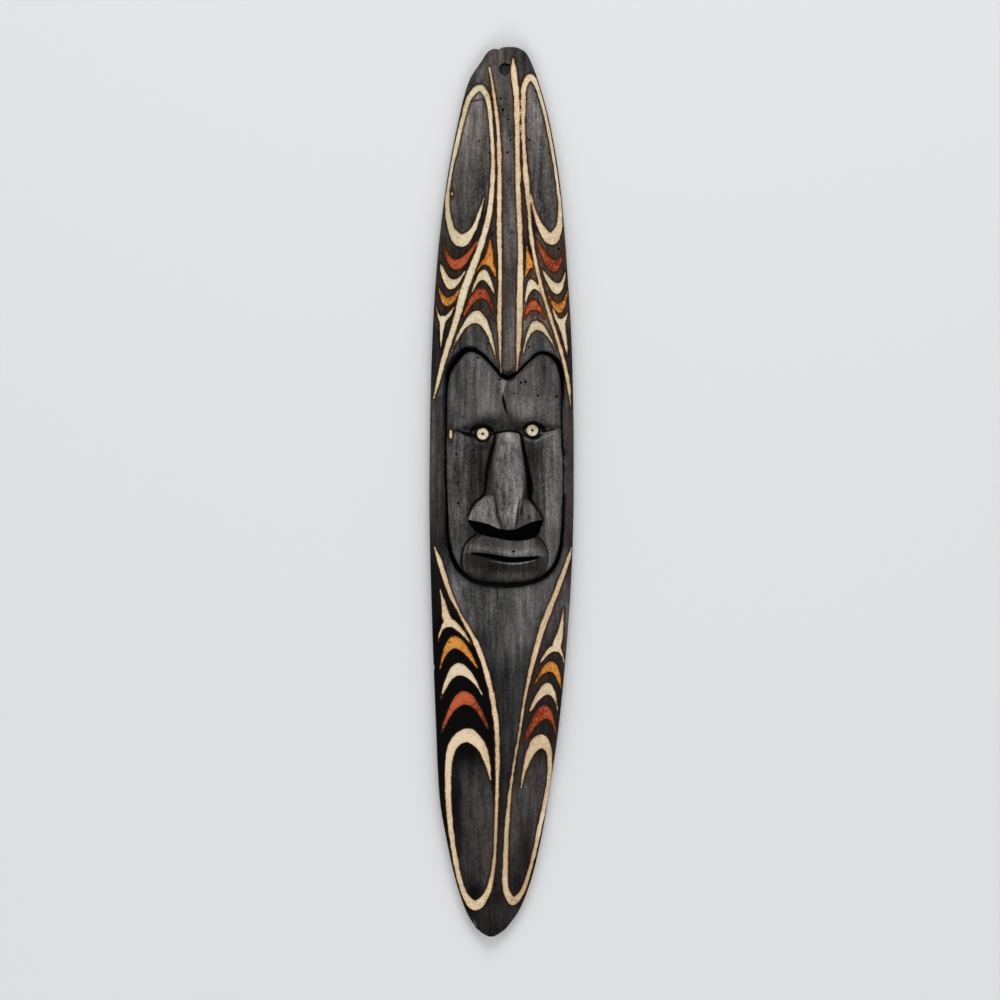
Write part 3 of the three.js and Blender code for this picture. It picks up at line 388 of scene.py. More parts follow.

# Soft patches where the grey is darker or lighter: on the face, painted shade at the brows, between the
# eyes, under both eyes, on the forehead and beside the chin, and painted light on the right cheek and the
# chin; on the ends and ovals, darker stain and rubbed places together with painted shade and sheen across
# the rounded section. Each is given across, up, half-width and half-height in millimetres, and the share by
# which the grey changes
PAINTED_LIGHT_AND_WEAR_PATCHES = [
    # ends and ovals
    (-6.6, 99, 6, 5, 0.3), (-12.2, 97, 5, 8.5, 0.35), (13.5, 98.7, 6, 7.5, -0.2),
    (-31.6, 85.6, 5, 24, -0.22), (-25.3, 80.5, 8.5, 6, -0.12), (-22, 88, 6, 24, 0.1),
    (25.3, 88, 7, 30, 0.14), (33.6, 80.8, 6, 7.5, -0.05), (-23.9, 21.2, 10.5, 8, -0.75),
    (-31.6, 14.2, 3, 36, -0.6), (-18.4, 4.9, 5, 8.5, -0.75), (27.3, 21, 4, 6, -0.3),
    (16.9, 9.2, 3.6, 17, -0.62), (10.7, 5.5, 5.5, 8.5, -0.5), (16, 12, 9, 26, -0.05),
    (-7.6, 2.4, 8, 7, 0.15), (-14.5, 30.5, 4, 22, -0.4), (-8.5, 26.5, 3, 14, -0.3),
    (19, 31.5, 4, 14, -0.3), (0, 3, 14, 10, 0.2), (9.5, 8.5, 4, 16, -0.32), (-22, 93, 6, 10, -0.12),
    (33, 83.5, 5, 14, 0.1),
    # face
    (-11.5, 57.9, 9, 3.4, -0.42), (5, 58.3, 8, 5.5, -0.18), (21.1, 58.1, 8.5, 2.2, -0.2),
    (21.8, 54.5, 6, 7.5, -0.3), (-12.2, 53, 3.6, 15, -0.15), (-12.2, 55.1, 4.5, 2.2, -0.25),
    (27, 52, 5, 18, 0.22), (-24, 62, 4, 7, -0.12), (3, 40.7, 12, 2.6, 0.25), (-6, 41.6, 5, 2, -0.2),
    (14, 41.4, 5, 2, -0.15),
]

# The brown, open-grained patch at the top end, given in the same way, and where it fades out
RAGGED_END = (-6, 98.9, 8, 5)
RAGGED_FADE = (0.5, 1.1)
RAGGED_BROWN = 0.3

# Greys of the stained wood, from 0 to 255, up the board
MARGIN_TONE = [(0, 36), (6, 26), (10, 10), (32, 8), (38, 24), (42, 27), (44.5, 42), (50, 54), (58, 57),
               (64, 40), (70, 40),
               (80, 50), (92, 54), (98, 62), (100, 66)]
GROUND_TONE = [(20, 2), (38, 5), (50, 30), (65, 72), (67.5, 62), (70, 44), (79, 38)]
LOBE_GROUND_TONE = 70
LOW_RIGHT_LIFT = [(14, 0), (20, 26), (27, 34), (32, 48), (38, 46), (44, 0)]
LOW_LOBE_TONE = [(16, 50), (19, 43), (22, 40), (26, 30)]
NECK_TONE = [(4, 38), (17, 36), (25, 50), (28.5, 44), (32, 66), (38, 84), (41, 70), (44, 44)]
STRIP_TONE = [(62, 73), (66, 74), (71, 75), (80, 82), (86, 80), (90, 74), (98, 72)]
OVAL_TONE = [(3, 50), (8, 53), (13, 57), (18, 55), (22, 38), (77, 68), (82, 78), (88, 90), (94, 102)]

# The plain grey of the back and of the side up to a height in millimetres
UNDER_SIDE_TONE = 60
UNDER_SIDE_HEIGHT = 5

# Where those greys run into one another, and how much they are lifted to the right and left, outwards
# from the middle
GROUND_FADE = (2.2, 5.0)
RIGHT_SIDE_STARTS = 3
OUTER_LIFT_STARTS = (27, 35)
UPPER_RIGHT_LIFT = (44, 6)
UPPER_LEFT_LIFT = (8, 0)
LOBE_TOP = 69.5
LOBE_FADE = 1.6
LOBE_BROWN_STARTS = (67, 70)
BESIDE_FACE_STARTS = 38
BESIDE_FACE = (44, 62)
BESIDE_FACE_SHARE = 0.93

# How brown the wood is, from 0 to 1
MARGIN_BROWN = 0.12
UPPER_BROWN = 0.6
UPPER_BROWN_STARTS = (65.5, 69.5)
LOW_LEFT_BROWN = 0.1
LOW_RIGHT_BROWN = 0.4
STRIP_BROWN = 0.15
OVAL_BROWN = 0.1
FACE_BROWN = 0.05
UNDER_SIDE_BROWN = 0.6

# The brown seam where a middle line runs close beside an outer one
LINE_PAIR_GAP = 2.2
LINE_PAIR_FOOT = 79
LINE_PAIR_BROWN = 0.95
LINE_PAIR_TONE = 52

# Greys of the face, which carry painted light and shade: painted highlights on the cheeks' rims, the nose's
# ridge and tip, its left wing and the upper lip's crest, and painted shade in the brow's recess, on the
# forehead's middle above it, on the nose's sides, its right wing, the lower lip and the cheeks by the
# nose's foot. A pair of greys, drops or shares is the left side's and the right side's, and a pair that is
# named a fade is a range.
CHEEK_TONE = (66, 74)
CHEEK_RIM_TONE = (94, 100)
CHEEK_RIM_FADE = (20, 33)
CHEEK_FOOT = 48
CHEEK_FOOT_DROP = (16, 26)
CHEEK_FOOT_FADE = 3
FOREHEAD_TONE = 82
FOREHEAD_FOOT = 59.5
FOREHEAD_MIDDLE_DROP = 14
FOREHEAD_DROP_HALF_WIDTH = 9
FOREHEAD_DROP_HALF_HEIGHT = 1.6
FOREHEAD_TOP_DROP = (0, 13)
FOREHEAD_TOP_FADE = 2
RECESS_TONE = 58
RECESS_DROP = 22
RECESS_MIDDLE = 15
RECESS_HALF_WIDTH = 7
RECESS_FADE = (0.3, 0.5)
NOSE_TONE = 100
NOSE_TONE_OVERLAP = 0.2
NOSE_RIDGE_HIGHLIGHT = 16
NOSE_RIDGE_HIGHLIGHT_HALF_WIDTH = 2.6
NOSE_TIP_HIGHLIGHT = 40
NOSE_TIP_UP = 47.5
NOSE_TIP_HIGHLIGHT_HALF_HEIGHT = 1.2
NOSE_SIDE_SHADE_TONE = (64, 40)
NOSE_CROWN_SHARE = (0.7, 0.9)
NOSE_SIDE_FADE = 0.3
NOSE_WING_LIGHT_AND_SHADE_TONE = (118, 70)
WING_RIM = 0.05
WING_RIM_SHARE = 0.8
WING_FADE = (0.1, 0.6)
UPPER_LIP_TONE = 72
UPPER_LIP_HIGHLIGHT_TONE = 90
UPPER_LIP_CREST = 0.8
UPPER_LIP_HALF_HEIGHT = 0.45
LOWER_LIP_SHADE_TONE = 38
CHIN_TONE = 48
CHIN_FADE = (1.2, 1.9)
LIP_FADE = 0.15
LIPS_FADE = (0.05, 0.75)

# The outer band and the middle line beside each lobe, and the band's station where the lobe starts
LOBES = [("upper_left", "left_middle", 16), ("upper_right", "right_middle", 17)]

# Each oval lies inside its band from one station to another
OVAL_STATIONS = {
    "upper_left": (0, 14), "upper_right": (0, 16),
    "lower_left": (8, 21), "lower_right": (7, 21),
}

# Worm holes: across, up and diameter in millimetres
WORM_HOLES = [
    (-21, 93.9, 1.2), (-7.7, 94.1, 1.6), (-0.4, 94.2, 1.2), (1, 92.9, 1.6), (4.8, 91.8, 1.3),
    (-15.3, 89.4, 1.1), (6.2, 89.5, 1.1), (19.4, 89.5, 1.3), (17, 88.5, 1.1), (-8.4, 88.1, 1.2),
    (4.1, 88.1, 1.4), (17.3, 94.1, 1.3), (23.5, 95, 1.2), (-6.6, 78.9, 1.3), (39.5, 77.3, 1.4),
    (-9.4, 66.6, 1.2), (0.3, 66.5, 1.3), (19, 66.2, 1.2), (-16.3, 65, 1.2), (-1.1, 62.6, 1.3),
    (13.5, 62.2, 1.4), (16.6, 62.3, 1.6), (25.3, 60.8, 1.3), (38, 60.7, 1.5), (-31.2, 54.2, 1.3),
    (-19.4, 54.7, 1.2), (-30.2, 48.7, 1.4), (7.2, 4.1, 1.3), (10.4, 4, 1.3), (8.3, 43.3, 1.5),
]

# Colours, from 0 to 255: each paint's pale and dark shade. The cream paint's run from cream to peach.
GAMMA = 2.2
COLOURS = {
    "orange": ((226, 156, 72), (160, 88, 34)),
    "red": ((196, 98, 62), (124, 44, 28)),
    "cream": (((236, 227, 195), (238, 212, 178)), ((204, 191, 156), (204, 173, 136))),
}
RIM_COLOUR = (76, 47, 24)
SHELL_COLOURS = ((232, 224, 196), (206, 190, 158))
DIRT_COLOUR = (74, 48, 26)
FLOOR_COLOUR = (233, 235, 236)
GREY_CAST = (1.03, 1.0, 0.985, 1)
BROWN_CAST = (1.9, 1.02, 0.5, 1)
# How far the cream paint runs to peach, below and above the board's middle and on some of the bands
PEACH_SHARES = (0.6, 0.2)
PEACH_BANDS = ("left_middle", "right_middle", "upper_right", "lower_left", "lower_right")
PEACH_BAND_SHARE = 0.75
PEACH_REACH = 0.6

# Textures: scale, detail, roughness and scale along each axis
WOOD_TEXTURES = {
    "grain": (60, 6.0, 0.65, (1, 0.06, 1)),
    "fine": (300, 4.0, 0.7, (1, 0.08, 1)),
    "patch": (26, 5.0, 0.62, (1, 0.6, 1)),
    "speck": (620, 4.0, 0.75),
    "fibre": (900, 3.0, 0.6, (1, 0.04, 1)),
    "wobble": (190, 4.0),
}
SHELL_TEXTURE = (500, 4.0)
DIRT_TEXTURE = (900, 3.0)
TEXTURE_STRENGTHS = {"grain": 1.15, "patch": 1.8, "fine": 1.6, "speck": 1.2}
WOBBLE_STRENGTH = 1.4
DIRT_STRENGTH = 0.9
FIBRE_LIFT = 0.22
WORN_SHARE = 0.6
DARKEST_LEVEL = 0.004
# Ramps: from low to high and, where they aren't 0 and 1, the values at low and at high
FIBRE_RANGE = (0.6, 0.7)
GROOVE_SHADE = (-0.5, 0.5, 0.02, 1.0)
BESIDE_GROOVE_SHADE = (0.0, 2.2, 0.74, 1.0)
BESIDE_PAINT_SHADE = (0.4, 1.8, 0.6, 1.0)
BROWN_SPECKS = (0.3, 0.6, 0.5, 1.0)
WORN_SPECKS = (0.6, 0.72)
BRUSH_RANGE = (0.42, 0.58)
RIM_RANGE = (0.2, 0.95, 1.0, 0.0)
RIM_PATCHES = (0.4, 0.52, 0.5, 1.0)
PAINT_EDGE = (-0.14, 0.1, 1.0, 0.0)
WOOD_ROUGHNESS = (0.3, 0.7, 0.5, 0.68)
SHELL_RANGE = (0.35, 0.7)
DIRT_RANGE = (0.35, 0.75)
# Strength and depth in metres
GRAIN_BUMP = (0.5, 0.0008)
FINE_BUMP = (0.4, 0.0003)
PAINT_ROUGHNESS = 0.15
WOOD_SPECULAR = 0.07
SHELL_ROUGHNESS = 0.4
FLOOR_ROUGHNESS = 0.9
FLOOR_SPECULAR = 0.1

# The stage, in metres and watts: each light's name, place, size and power
FLOOR_SIZE = 6
LIGHTS = [
    ("top_light", (0.1, 1.6, 1.5), 1.4, 24),
    ("left_light", (-1.9, -0.1, 1.9), 1.6, 9),
    ("right_light", (1.9, -0.3, 1.9), 1.6, 9),
    ("foot_light", (0.0, -1.7, 1.3), 1.2, 12),
]
ROOM_LIGHT = 0.3

# The camera: the board's place in the photograph, in pixels, and the lens
PHOTO_SIZE = 1000
BOARD_TOP_PX = 46.8
BOARD_FOOT_PX = 936.8
BOARD_MIDDLE_PX = 501.55
CAMERA_DISTANCE = 3.2
SENSOR_WIDTH = 36


def across(share):
    """Millimetres across the board from a share of its width."""
    return BOARD_MIDDLE_X + share / 100 * BOARD_WIDTH


def up(share):
    """Millimetres up the board from a share of its length."""
    return FOOT_Y + share / 100 * BOARD_LENGTH


def share_across(x):
    """Hundredths of the board's width from its middle."""
    return (x - BOARD_MIDDLE_X) / BOARD_WIDTH * 100


def share_up(y):
    """Hundredths of the board's length from its foot."""
    return (y - FOOT_Y) / BOARD_LENGTH * 100


def distance_from(x, y, place):
    """Millimetres from a place that is given as shares across and up."""
    return np.hypot(x - across(place[0]), y - up(place[1]))


def patch_reach(x, y, patch):
    """How far out a place lies in an oval patch: 0 at its middle and 1 at its rim."""
    patch_across, patch_up, half_width, half_height = patch
    return np.hypot((x - across(patch_across)) / half_width, (y - up(patch_up)) / half_height)


def smoothstep(value, low, high):
    """0 below low, 1 above high and smooth between them."""
    span = np.where(np.equal(low, high), TINY, np.subtract(high, low))
    t = np.clip((value - low) / span, 0, 1)
    return t * t * (3 - 2 * t)


def lerp(a, b, t):
    """The value a share t of the way from a to b."""
    return a + (b - a) * t


def bell(value, middle, half_width):
    """1 at the middle, and falling smoothly to nothing on both sides of it."""
    return np.exp(-(((value - middle) / half_width) ** 2))


def between(stations, place):
    """The smooth value at each place among stations, each a place and its value."""
    places = np.array([station[0] for station in stations], float)
    values = np.array([station[1] for station in stations], float)
    last = len(stations) - 1
    at = np.clip(place, places[0], places[-1])
    i = np.clip(np.searchsorted(places, at, side="right") - 1, 0, last - 1)
    before = np.maximum(np.arange(last + 1) - 1, 0)
    after = np.minimum(np.arange(last + 1) + 1, last)
    slopes = (values[after] - values[before]) / (places[after] - places[before])
    span = places[i + 1] - places[i]
    t = (at - places[i]) / span
    ease = t * t * (3 - 2 * t)
    bend = t * (1 - t) * span * (slopes[i] * (1 - t) - slopes[i + 1] * t)
    return values[i] + (values[i + 1] - values[i]) * ease + bend


def smooth_line(stations, step, closed=False):
    """Points along a smooth line through stations, as rows of x, y and breadth, about a step apart."""
    points = np.array([(across(a), up(u), breadth) for a, u, breadth in stations])
    if closed:
        padded = np.vstack([points[-1], points, points[0], points[1]])
    else:
        padded = np.vstack([2 * points[0] - points[1], points, 2 * points[-1] - points[-2]])
        padded[:, 2] = np.maximum(padded[:, 2], THINNEST_LINE)
    rows = []
    for k in range(1, len(padded) - 2):
        p = padded[k - 1:k + 3]
        gaps = np.maximum(np.linalg.norm(np.diff(p[:, :2], axis=0), axis=1), SMALLEST_GAP) ** 0.5
        t0, t1, t2, t3 = np.concatenate([[0], np.cumsum(gaps)])
        count = max(2, round(np.linalg.norm(p[2, :2] - p[1, :2]) / step))
        t = (t1 + (t2 - t1) * np.arange(count) / count)[:, None]
        a1 = (t1 - t) / (t1 - t0) * p[0] + (t - t0) / (t1 - t0) * p[1]
        a2 = (t2 - t) / (t2 - t1) * p[1] + (t - t1) / (t2 - t1) * p[2]
        a3 = (t3 - t) / (t3 - t2) * p[2] + (t - t2) / (t3 - t2) * p[3]
        b1 = (t2 - t) / (t2 - t0) * a1 + (t - t0) / (t2 - t0) * a2
        b2 = (t3 - t) / (t3 - t1) * a2 + (t - t1) / (t3 - t1) * a3
        rows.append((t2 - t) / (t2 - t1) * b1 + (t - t1) / (t2 - t1) * b2)
    if not closed:
        rows.append(points[-1:])
    return np.vstack(rows)


def left_of(run):
    """Unit steps to the left of some steps, one row for each."""
    run = run / np.maximum(np.linalg.norm(run, axis=1), TINY)[:, None]
    return np.stack([-run[:, 1], run[:, 0]], axis=1)


def band_edges(line):
    """The two edges of a painted line, from its rows of x, y and breadth."""
    half = line[:, 2:] / 2 * left_of(np.gradient(line[:, :2], axis=0))
    return line[:, :2] + half, line[:, :2] - half


def crescent_edges(left_tip, right_tip, crown, breadth, step):
    """The two edges of a crescent, which meet at its tips and are furthest apart at its crown."""
    start, end, middle = (np.array([across(a), up(u)]) for a, u in (left_tip, right_tip, crown))
    length = np.linalg.norm(end - start)
    count = max(FEWEST_CRESCENT_STEPS, round(CRESCENT_LENGTH_SHARE * length / step))
    t = (1 - np.cos(np.pi * np.linspace(0, 1, count + 1)[:, None])) / 2
    control = 2 * middle - (start + end) / 2
    points = (1 - t) ** 2 * start + 2 * t * (1 - t) * control + t ** 2 * end
    chord = (end - start) / length
    spread = np.array([-chord[1], chord[0]]) * breadth / 2 * (4 * t * (1 - t)) ** CRESCENT_FULLNESS
    return points + spread, points - spread


def line_distance(x, y, line, closed=False, reach=LINE_REACH):
    """The signed distance to a line's painted edge, negative inside it, and at most reach outside it."""
    distance = np.full(x.shape, reach)
    low = line[:, :2].min(axis=0) - reach - WIDEST_HALF_LINE
    high = line[:, :2].max(axis=0) + reach + WIDEST_HALF_LINE
    near = (x > low[0]) & (x < high[0]) & (y > low[1]) & (y < high[1])
    px, py = x[near], y[near]
    nearest = distance[near]
    ends = np.roll(line, -1, axis=0) if closed else line[1:]
    starts = line if closed else line[:-1]
    far = reach + WIDEST_HALF_LINE + LONGEST_HALF_STEP
    for start, end in zip(starts, ends):
        middle = (start + end) / 2
        close = (np.abs(px - middle[0]) < far) & (np.abs(py - middle[1]) < far)
        dx, dy = end[0] - start[0], end[1] - start[1]
        along = (px[close] - start[0]) * dx + (py[close] - start[1]) * dy
        t = np.clip(along / (dx * dx + dy * dy + SMALLEST_GAP ** 2), 0, 1)
        gap = np.hypot(px[close] - start[0] - t * dx, py[close] - start[1] - t * dy)
        gap -= (start[2] + (end[2] - start[2]) * t) / 2
        nearest[close] = np.minimum(nearest[close], gap)
    distance[near] = nearest
    return distance


def inside_loop(x, y, loop):
    """True where a point lies inside a closed loop of x and y."""
    inside = np.zeros(x.shape, bool)
    for start, end in zip(loop, np.roll(loop, -1, axis=0)):
        crosses = (start[1] > y) != (end[1] > y)
        if not crosses.any():
            continue
        level = end[1] - start[1] if end[1] != start[1] else TINY
        inside ^= crosses & (x < start[0] + (y - start[1]) / level * (end[0] - start[0]))
    return inside


def thin_line(loop):
    """A closed line without breadth, from a loop of x and y."""
    return np.column_stack([loop, np.zeros(len(loop))])


# The painted shapes, each with its colour, its two edges and, for a line, its middle
band_lines = {name: smooth_line(stations, LINE_POINT_STEP) for name, stations in BANDS.items()}
painted = [("cream", band_edges(line), line) for line in band_lines.values()]
for tail_colour, stations in TAILS:
    tail_line = smooth_line(stations, LINE_POINT_STEP)
    painted.append((tail_colour, band_edges(tail_line), tail_line))
for row in CRESCENTS:
    painted.append((row[0], crescent_edges(*row[1:], LINE_POINT_STEP), None))
face_line = smooth_line(FACE_OUTLINE, LINE_POINT_STEP, closed=True)
mouth_line = smooth_line(MOUTH_SLIT, MOUTH_POINT_STEP)


def painted_distance(x, y, edges, line):
    """The signed distance to a painted shape's edge, negative inside it."""
    if line is not None:
        return line_distance(x, y, line)
    loop = np.vstack([edges[0], edges[1][::-1]])
    gap = line_distance(x, y, thin_line(loop), closed=True)
    near = gap < LINE_REACH
    inside = np.zeros(x.shape, bool)
    inside[near] = inside_loop(x[near], y[near], loop)
    return np.where(inside, -gap, gap)


def nearest_painted(x, y, wanted):
    """The distance to the nearest edge among the painted shapes that are wanted."""
    nearest = np.full(x.shape, LINE_REACH)
    for colour, edges, line in painted:
        if wanted(colour, line):
            nearest = np.minimum(nearest, painted_distance(x, y, edges, line))
    return nearest


def face_inwards(x, y):
    """The distance inwards from the face's outline, negative outside it."""
    outline = face_line[:, :2]
    gap = line_distance(x, y, thin_line(outline), closed=True, reach=FACE_REACH)
    return np.where(inside_loop(x, y, outline), gap, -gap)


def full_share(y):
    """0 at the board's two ends and 1 where its tapers are over."""
    fall = np.minimum(y - FOOT_Y, FOOT_Y + BOARD_LENGTH - y)
    return smoothstep(fall, 0, END_TAPER_LENGTH)


def edge_thickness(y):
    """The board's thickness at its edge."""
    return lerp(END_EDGE_THICKNESS, EDGE_THICKNESS, full_share(y))


def board_height(x, y):
    """The board's own rounded section, before the face and the lines are cut."""
    share = share_up(y)
    left = across(between(LEFT_EDGE, share))
    right = across(between(RIGHT_EDGE, share))
    side = np.clip(np.abs((2 * x - left - right) / (right - left)), 0, 1)
    edge = edge_thickness(y)
    centre = lerp(END_CENTRE_THICKNESS, CENTRE_THICKNESS, full_share(y))
    return edge + (centre - edge) * (1 - side ** SECTION_FULLNESS)


def swelling(form, p, share):
    """A rounded swelling from 1 at its middle to 0 at its rim."""
    reach = ((p - form[0]) / form[2]) ** 2 + ((share - form[1]) / form[3]) ** 2
    return np.sqrt(np.maximum(0, 1 - reach))


def face_height(x, y, inwards):
    """The height of the carved face."""
    share = share_up(y)
    place = share_across(x)
    p = place - FACE_MIDDLE
    side = np.abs(p)
    cheek_drop = lerp(CHEEK_HOLLOW_DROP, CHEEK_RIM_DROP, smoothstep(side, *CHEEK_SLOPE))
    cheek = CENTRE_THICKNESS - cheek_drop
    crease = BROW_CREASE_DEPTH * bell(p, 0, BROW_CREASE_HALF_WIDTH)
    forehead = CENTRE_THICKNESS + FOREHEAD_RISE * (1 - (side / FOREHEAD_HALF_WIDTH) ** 3) - crease
    eye_line = between(EYE_LINE, p)
    height = lerp(cheek, forehead, smoothstep(share, eye_line, between(BROW_LINE, p)))

    from_nose = np.abs(place - NOSE_MIDDLE)
    ridge = between(NOSE_RIDGE_HALF_WIDTH, share)
    base = between(NOSE_BASE_HALF_WIDTH, share)
    nose_rise = lerp(NOSE_ROOT_RISE, NOSE_TIP_RISE, between(NOSE_RISE, share))
    crown = nose_rise - NOSE_CROWN * np.minimum(from_nose / ridge, 1) ** 2
    flank = lerp(crown, -CHEEK_HOLLOW_DROP, np.clip((from_nose - ridge) / (base - ridge), 0, 1))
    nose = CENTRE_THICKNESS + np.where(from_nose < ridge, crown, flank)
    height = np.where(share < eye_line, np.maximum(height, nose), height)
    for wing in NOSE_WINGS:
        swell = swelling(wing, place - NOSE_MIDDLE, share)
        bulge = cheek + (CENTRE_THICKNESS + WING_RISE - cheek) * swell ** WING_FULLNESS
        height = np.where(swell > 0, np.maximum(height, bulge), height)

    lips = np.minimum(1, 2 * swelling(LIPS, p, share))
    fall_back = CHIN_DROP * smoothstep(LIPS[1] - share, 0, LIPS[3])
    mouth = lerp(cheek, CENTRE_THICKNESS + LIP_RISE - fall_back, lips)
    below_nose = share < between(NOSE_FOOT_LINE, p)
    height = np.where(below_nose, mouth, height)
    undercut = below_nose & (share > between(LIP_TOP_LINE, p))
    height = np.where(undercut, NOSE_UNDERCUT_FLOOR, height)
    slit = line_distance(x, y, mouth_line)
    height = height - MOUTH_DEPTH * smoothstep(-slit, 0, MOUTH_WALL)
    for eye in EYES.values():
        sideways = bell(place, eye[0], EYE_HOLLOW_HALF_WIDTH)
        height = height - EYE_HOLLOW_DEPTH * sideways * bell(share, eye[1], EYE_HOLLOW_HALF_HEIGHT)
        socket = distance_from(x, y, eye) < EYE_DISC_DIAMETER / 2 + FIT_CLEARANCE
        height = np.where(socket, EYE_SOCKET_FLOOR, height)
    return height - FACE_ROLL * (1 - smoothstep(inwards, 0, FACE_ROLL_WIDTH))


def front_height(x, y):
    """The height of the whole front, with every cut."""
    share = share_up(y)
    p = np.abs(share_across(x) - NECK_MIDDLE)
    within_neck = 1 - smoothstep(p - between(NECK_EDGES, share), -NECK_SIDE_SLOPE, 0)
    neck = smoothstep(share, NECK_FOOT, NECK_TOP) ** NECK_EASE * within_neck
    neck = neck * (1 - smoothstep(share - NECK_TOP, *NECK_END))
    board = board_height(x, y)
    height = board - NECK_DROP * neck
    inwards = face_inwards(x, y)
    height = np.where(inwards > 0, face_height(x, y, inwards), height)
    groove = line_distance(x, y, face_line, closed=True)
    floor = np.minimum(height, board - FACE_GROOVE_DEPTH)
    height = lerp(height, floor, smoothstep(-groove, *FACE_GROOVE_WALL))
    lines = nearest_painted(x, y, lambda colour, line: True)
    height = height - PATTERN_GROOVE_DEPTH * smoothstep(-lines, 0, GROOVE_WALL)
    for *place, diameter in WORM_HOLES:
        from_hole = distance_from(x, y, place) / (diameter / 2)
        height = height - WORM_HOLE_DEPTH * (1 - smoothstep(from_hole, *WORM_HOLE_WALL))
    return np.minimum(height, board_high[2])


def points_between(edges):
    """Points inside a painted shape: at the foot of its walls and along its middle."""
    left, right = edges
    breadth = np.linalg.norm(right - left, axis=1)[:, None]
    share = GROOVE_WALL / np.maximum(breadth, TINY)
    wide = (share < BROADEST_WALL_SHARE)[:, 0]
    middle = lerp(left, right, 0.5)[1:-1]
    return np.vstack([middle, lerp(left, right, share)[wide], lerp(left, right, 1 - share)[wide]])


def inset(loop, distance):
    """A closed loop moved inwards by a distance."""
    return loop + distance * left_of(np.roll(loop, -1, axis=0) - np.roll(loop, 1, axis=0))


def board_outline():
    """The board's outline from its foot, up its right edge and down its left one, with its nicks."""
    ends = ROUNDED_END * np.linspace(0, 1, END_POINTS) ** 2
    count = round((1 - 2 * ROUNDED_END / 100) * BOARD_LENGTH / OUTLINE_POINT_STEP)
    middle = np.linspace(ROUNDED_END, 100 - ROUNDED_END, count)
    shares = np.concatenate([ends[:-1], middle, 100 - ends[::-1][1:]])
    left, right = (np.stack([across(between(edge, shares)), up(shares)], axis=1)
                   for edge in (LEFT_EDGE, RIGHT_EDGE))
    foot = np.linspace(left[0], right[0], FOOT_POINTS)[1:-1]
    top = np.linspace(right[-1], left[-1], TOP_POINTS)[1:-1]
    loop = np.vstack([foot, right, top, left[::-1]])
    inwards = inset(loop, 1) - loop
    for *place, half_width, depth in NICKS:
        dent = depth * bell(distance_from(loop[:, 0], loop[:, 1], place), 0, half_width)
        loop = loop + dent[:, None] * inwards
    return np.clip(loop, board_low[:2], board_high[:2])


def circle(centre_x, centre_y, radius, sides):
    """Points round a circle."""
    angle = 2 * np.pi * np.arange(sides) / sides
    return np.stack([centre_x + radius * np.cos(angle), centre_y + radius * np.sin(angle)], axis=1)


def spread_points(low, high, step, rng):
    """A field of points a step apart in staggered rows, each moved a little."""
    rows = np.arange(low[1], high[1], step * ROW_SPACING)
    columns = np.arange(low[0], high[0], step)
    x, y = np.meshgrid(columns, rows)
    x = x + (np.arange(len(rows)) % 2)[:, None] * step / 2
    x = x + rng.uniform(-POINT_SHIFT, POINT_SHIFT, x.shape) * step
    y = y + rng.uniform(-POINT_SHIFT, POINT_SHIFT, y.shape) * step
    return x.ravel(), y.ravel()


def triangulate(loops, hole, points):
    """Triangles over the first loop, with the other loops as edges and the hole left open."""
    vertices = []
    edges = []
    for loop in [*loops, hole]:
        start = len(vertices)
        count = len(loop)
        vertices += [Vector(point) for point in loop.tolist()]
        edges += [(start + k, start + (k + 1) % count) for k in range(count)]
    hole_corners = range(len(vertices) - len(hole), len(vertices))
    vertices += [Vector(point) for point in points.tolist()]
    outline = [list(range(len(loops[0])))]
    flat, _, faces, origins, _, _ = delaunay_2d_cdt(vertices, edges, outline, 1, MERGE_DISTANCE)
    flat = np.array([(point.x, point.y) for point in flat])
    faces = np.array([face for face in faces if len(face) == 3])
    made = {source: index for index, sources in enumerate(origins) for source in sources}
    hole_ring = np.array([made[k] for k in hole_corners])
    x, y = flat[faces].mean(axis=1).T
    keep = inside_loop(x, y, loops[0]) & ~inside_loop(x, y, hole)
    outer = outer_ring(faces[keep])
    faces = faces[keep & inside_loop(x, y, flat[outer])]
    used = np.unique(faces)
    renumbered = np.full(len(flat), -1)
    renumbered[used] = np.arange(len(used))
    return flat[used], renumbered[faces], renumbered[outer], renumbered[hole_ring]


def outer_ring(faces):
    """The vertices round the outside of some triangles, in order, with the others on their left."""
    pairs = np.vstack([faces[:, [0, 1]], faces[:, [1, 2]], faces[:, [2, 0]]])
    ways = set(map(tuple, pairs.tolist()))
    onward = {}
    for start, end in sorted(ways):
        if (end, start) not in ways:
            onward.setdefault(start, []).append(end)
    longest = []
    while onward:
        ring = [min(onward)]
        while ring[-1] in onward:
            ends = onward[ring[-1]]
            end = ends.pop()
            if not ends:
                del onward[ring[-1]]
            if end in ring:
                turn = ring.index(end)
                longest = max(longest, ring[turn:], key=len)
                ring = ring[:turn]
            ring.append(end)
    return np.array(longest)


def ring_from_lowest(ring, loop, flat):
    """A ring turned to start at its lowest place along a loop, and the places, in the loop's corners."""
    points = flat[ring]
    run = np.roll(loop, -1, axis=0) - loop
    from_start = points[:, None] - loop
    share = np.clip((from_start * run).sum(axis=2) / (run ** 2).sum(axis=1), 0, 1)
    gap = np.linalg.norm(from_start - share[..., None] * run, axis=2)
    nearest = gap.argmin(axis=1)
    places = (nearest + share[np.arange(len(points)), nearest]) % len(loop)
    turn = -int(places.argmin())
    return np.roll(ring, turn), np.maximum.accumulate(np.roll(places, turn))


def loop_at(loop, places):
    """The points of a closed loop at some places, counted in the loop's corners."""
    corners = np.arange(len(loop) + 1)
    closed = np.vstack([loop, loop[:1]])
    return np.column_stack([np.interp(places, corners, closed[:, k]) for k in range(2)])


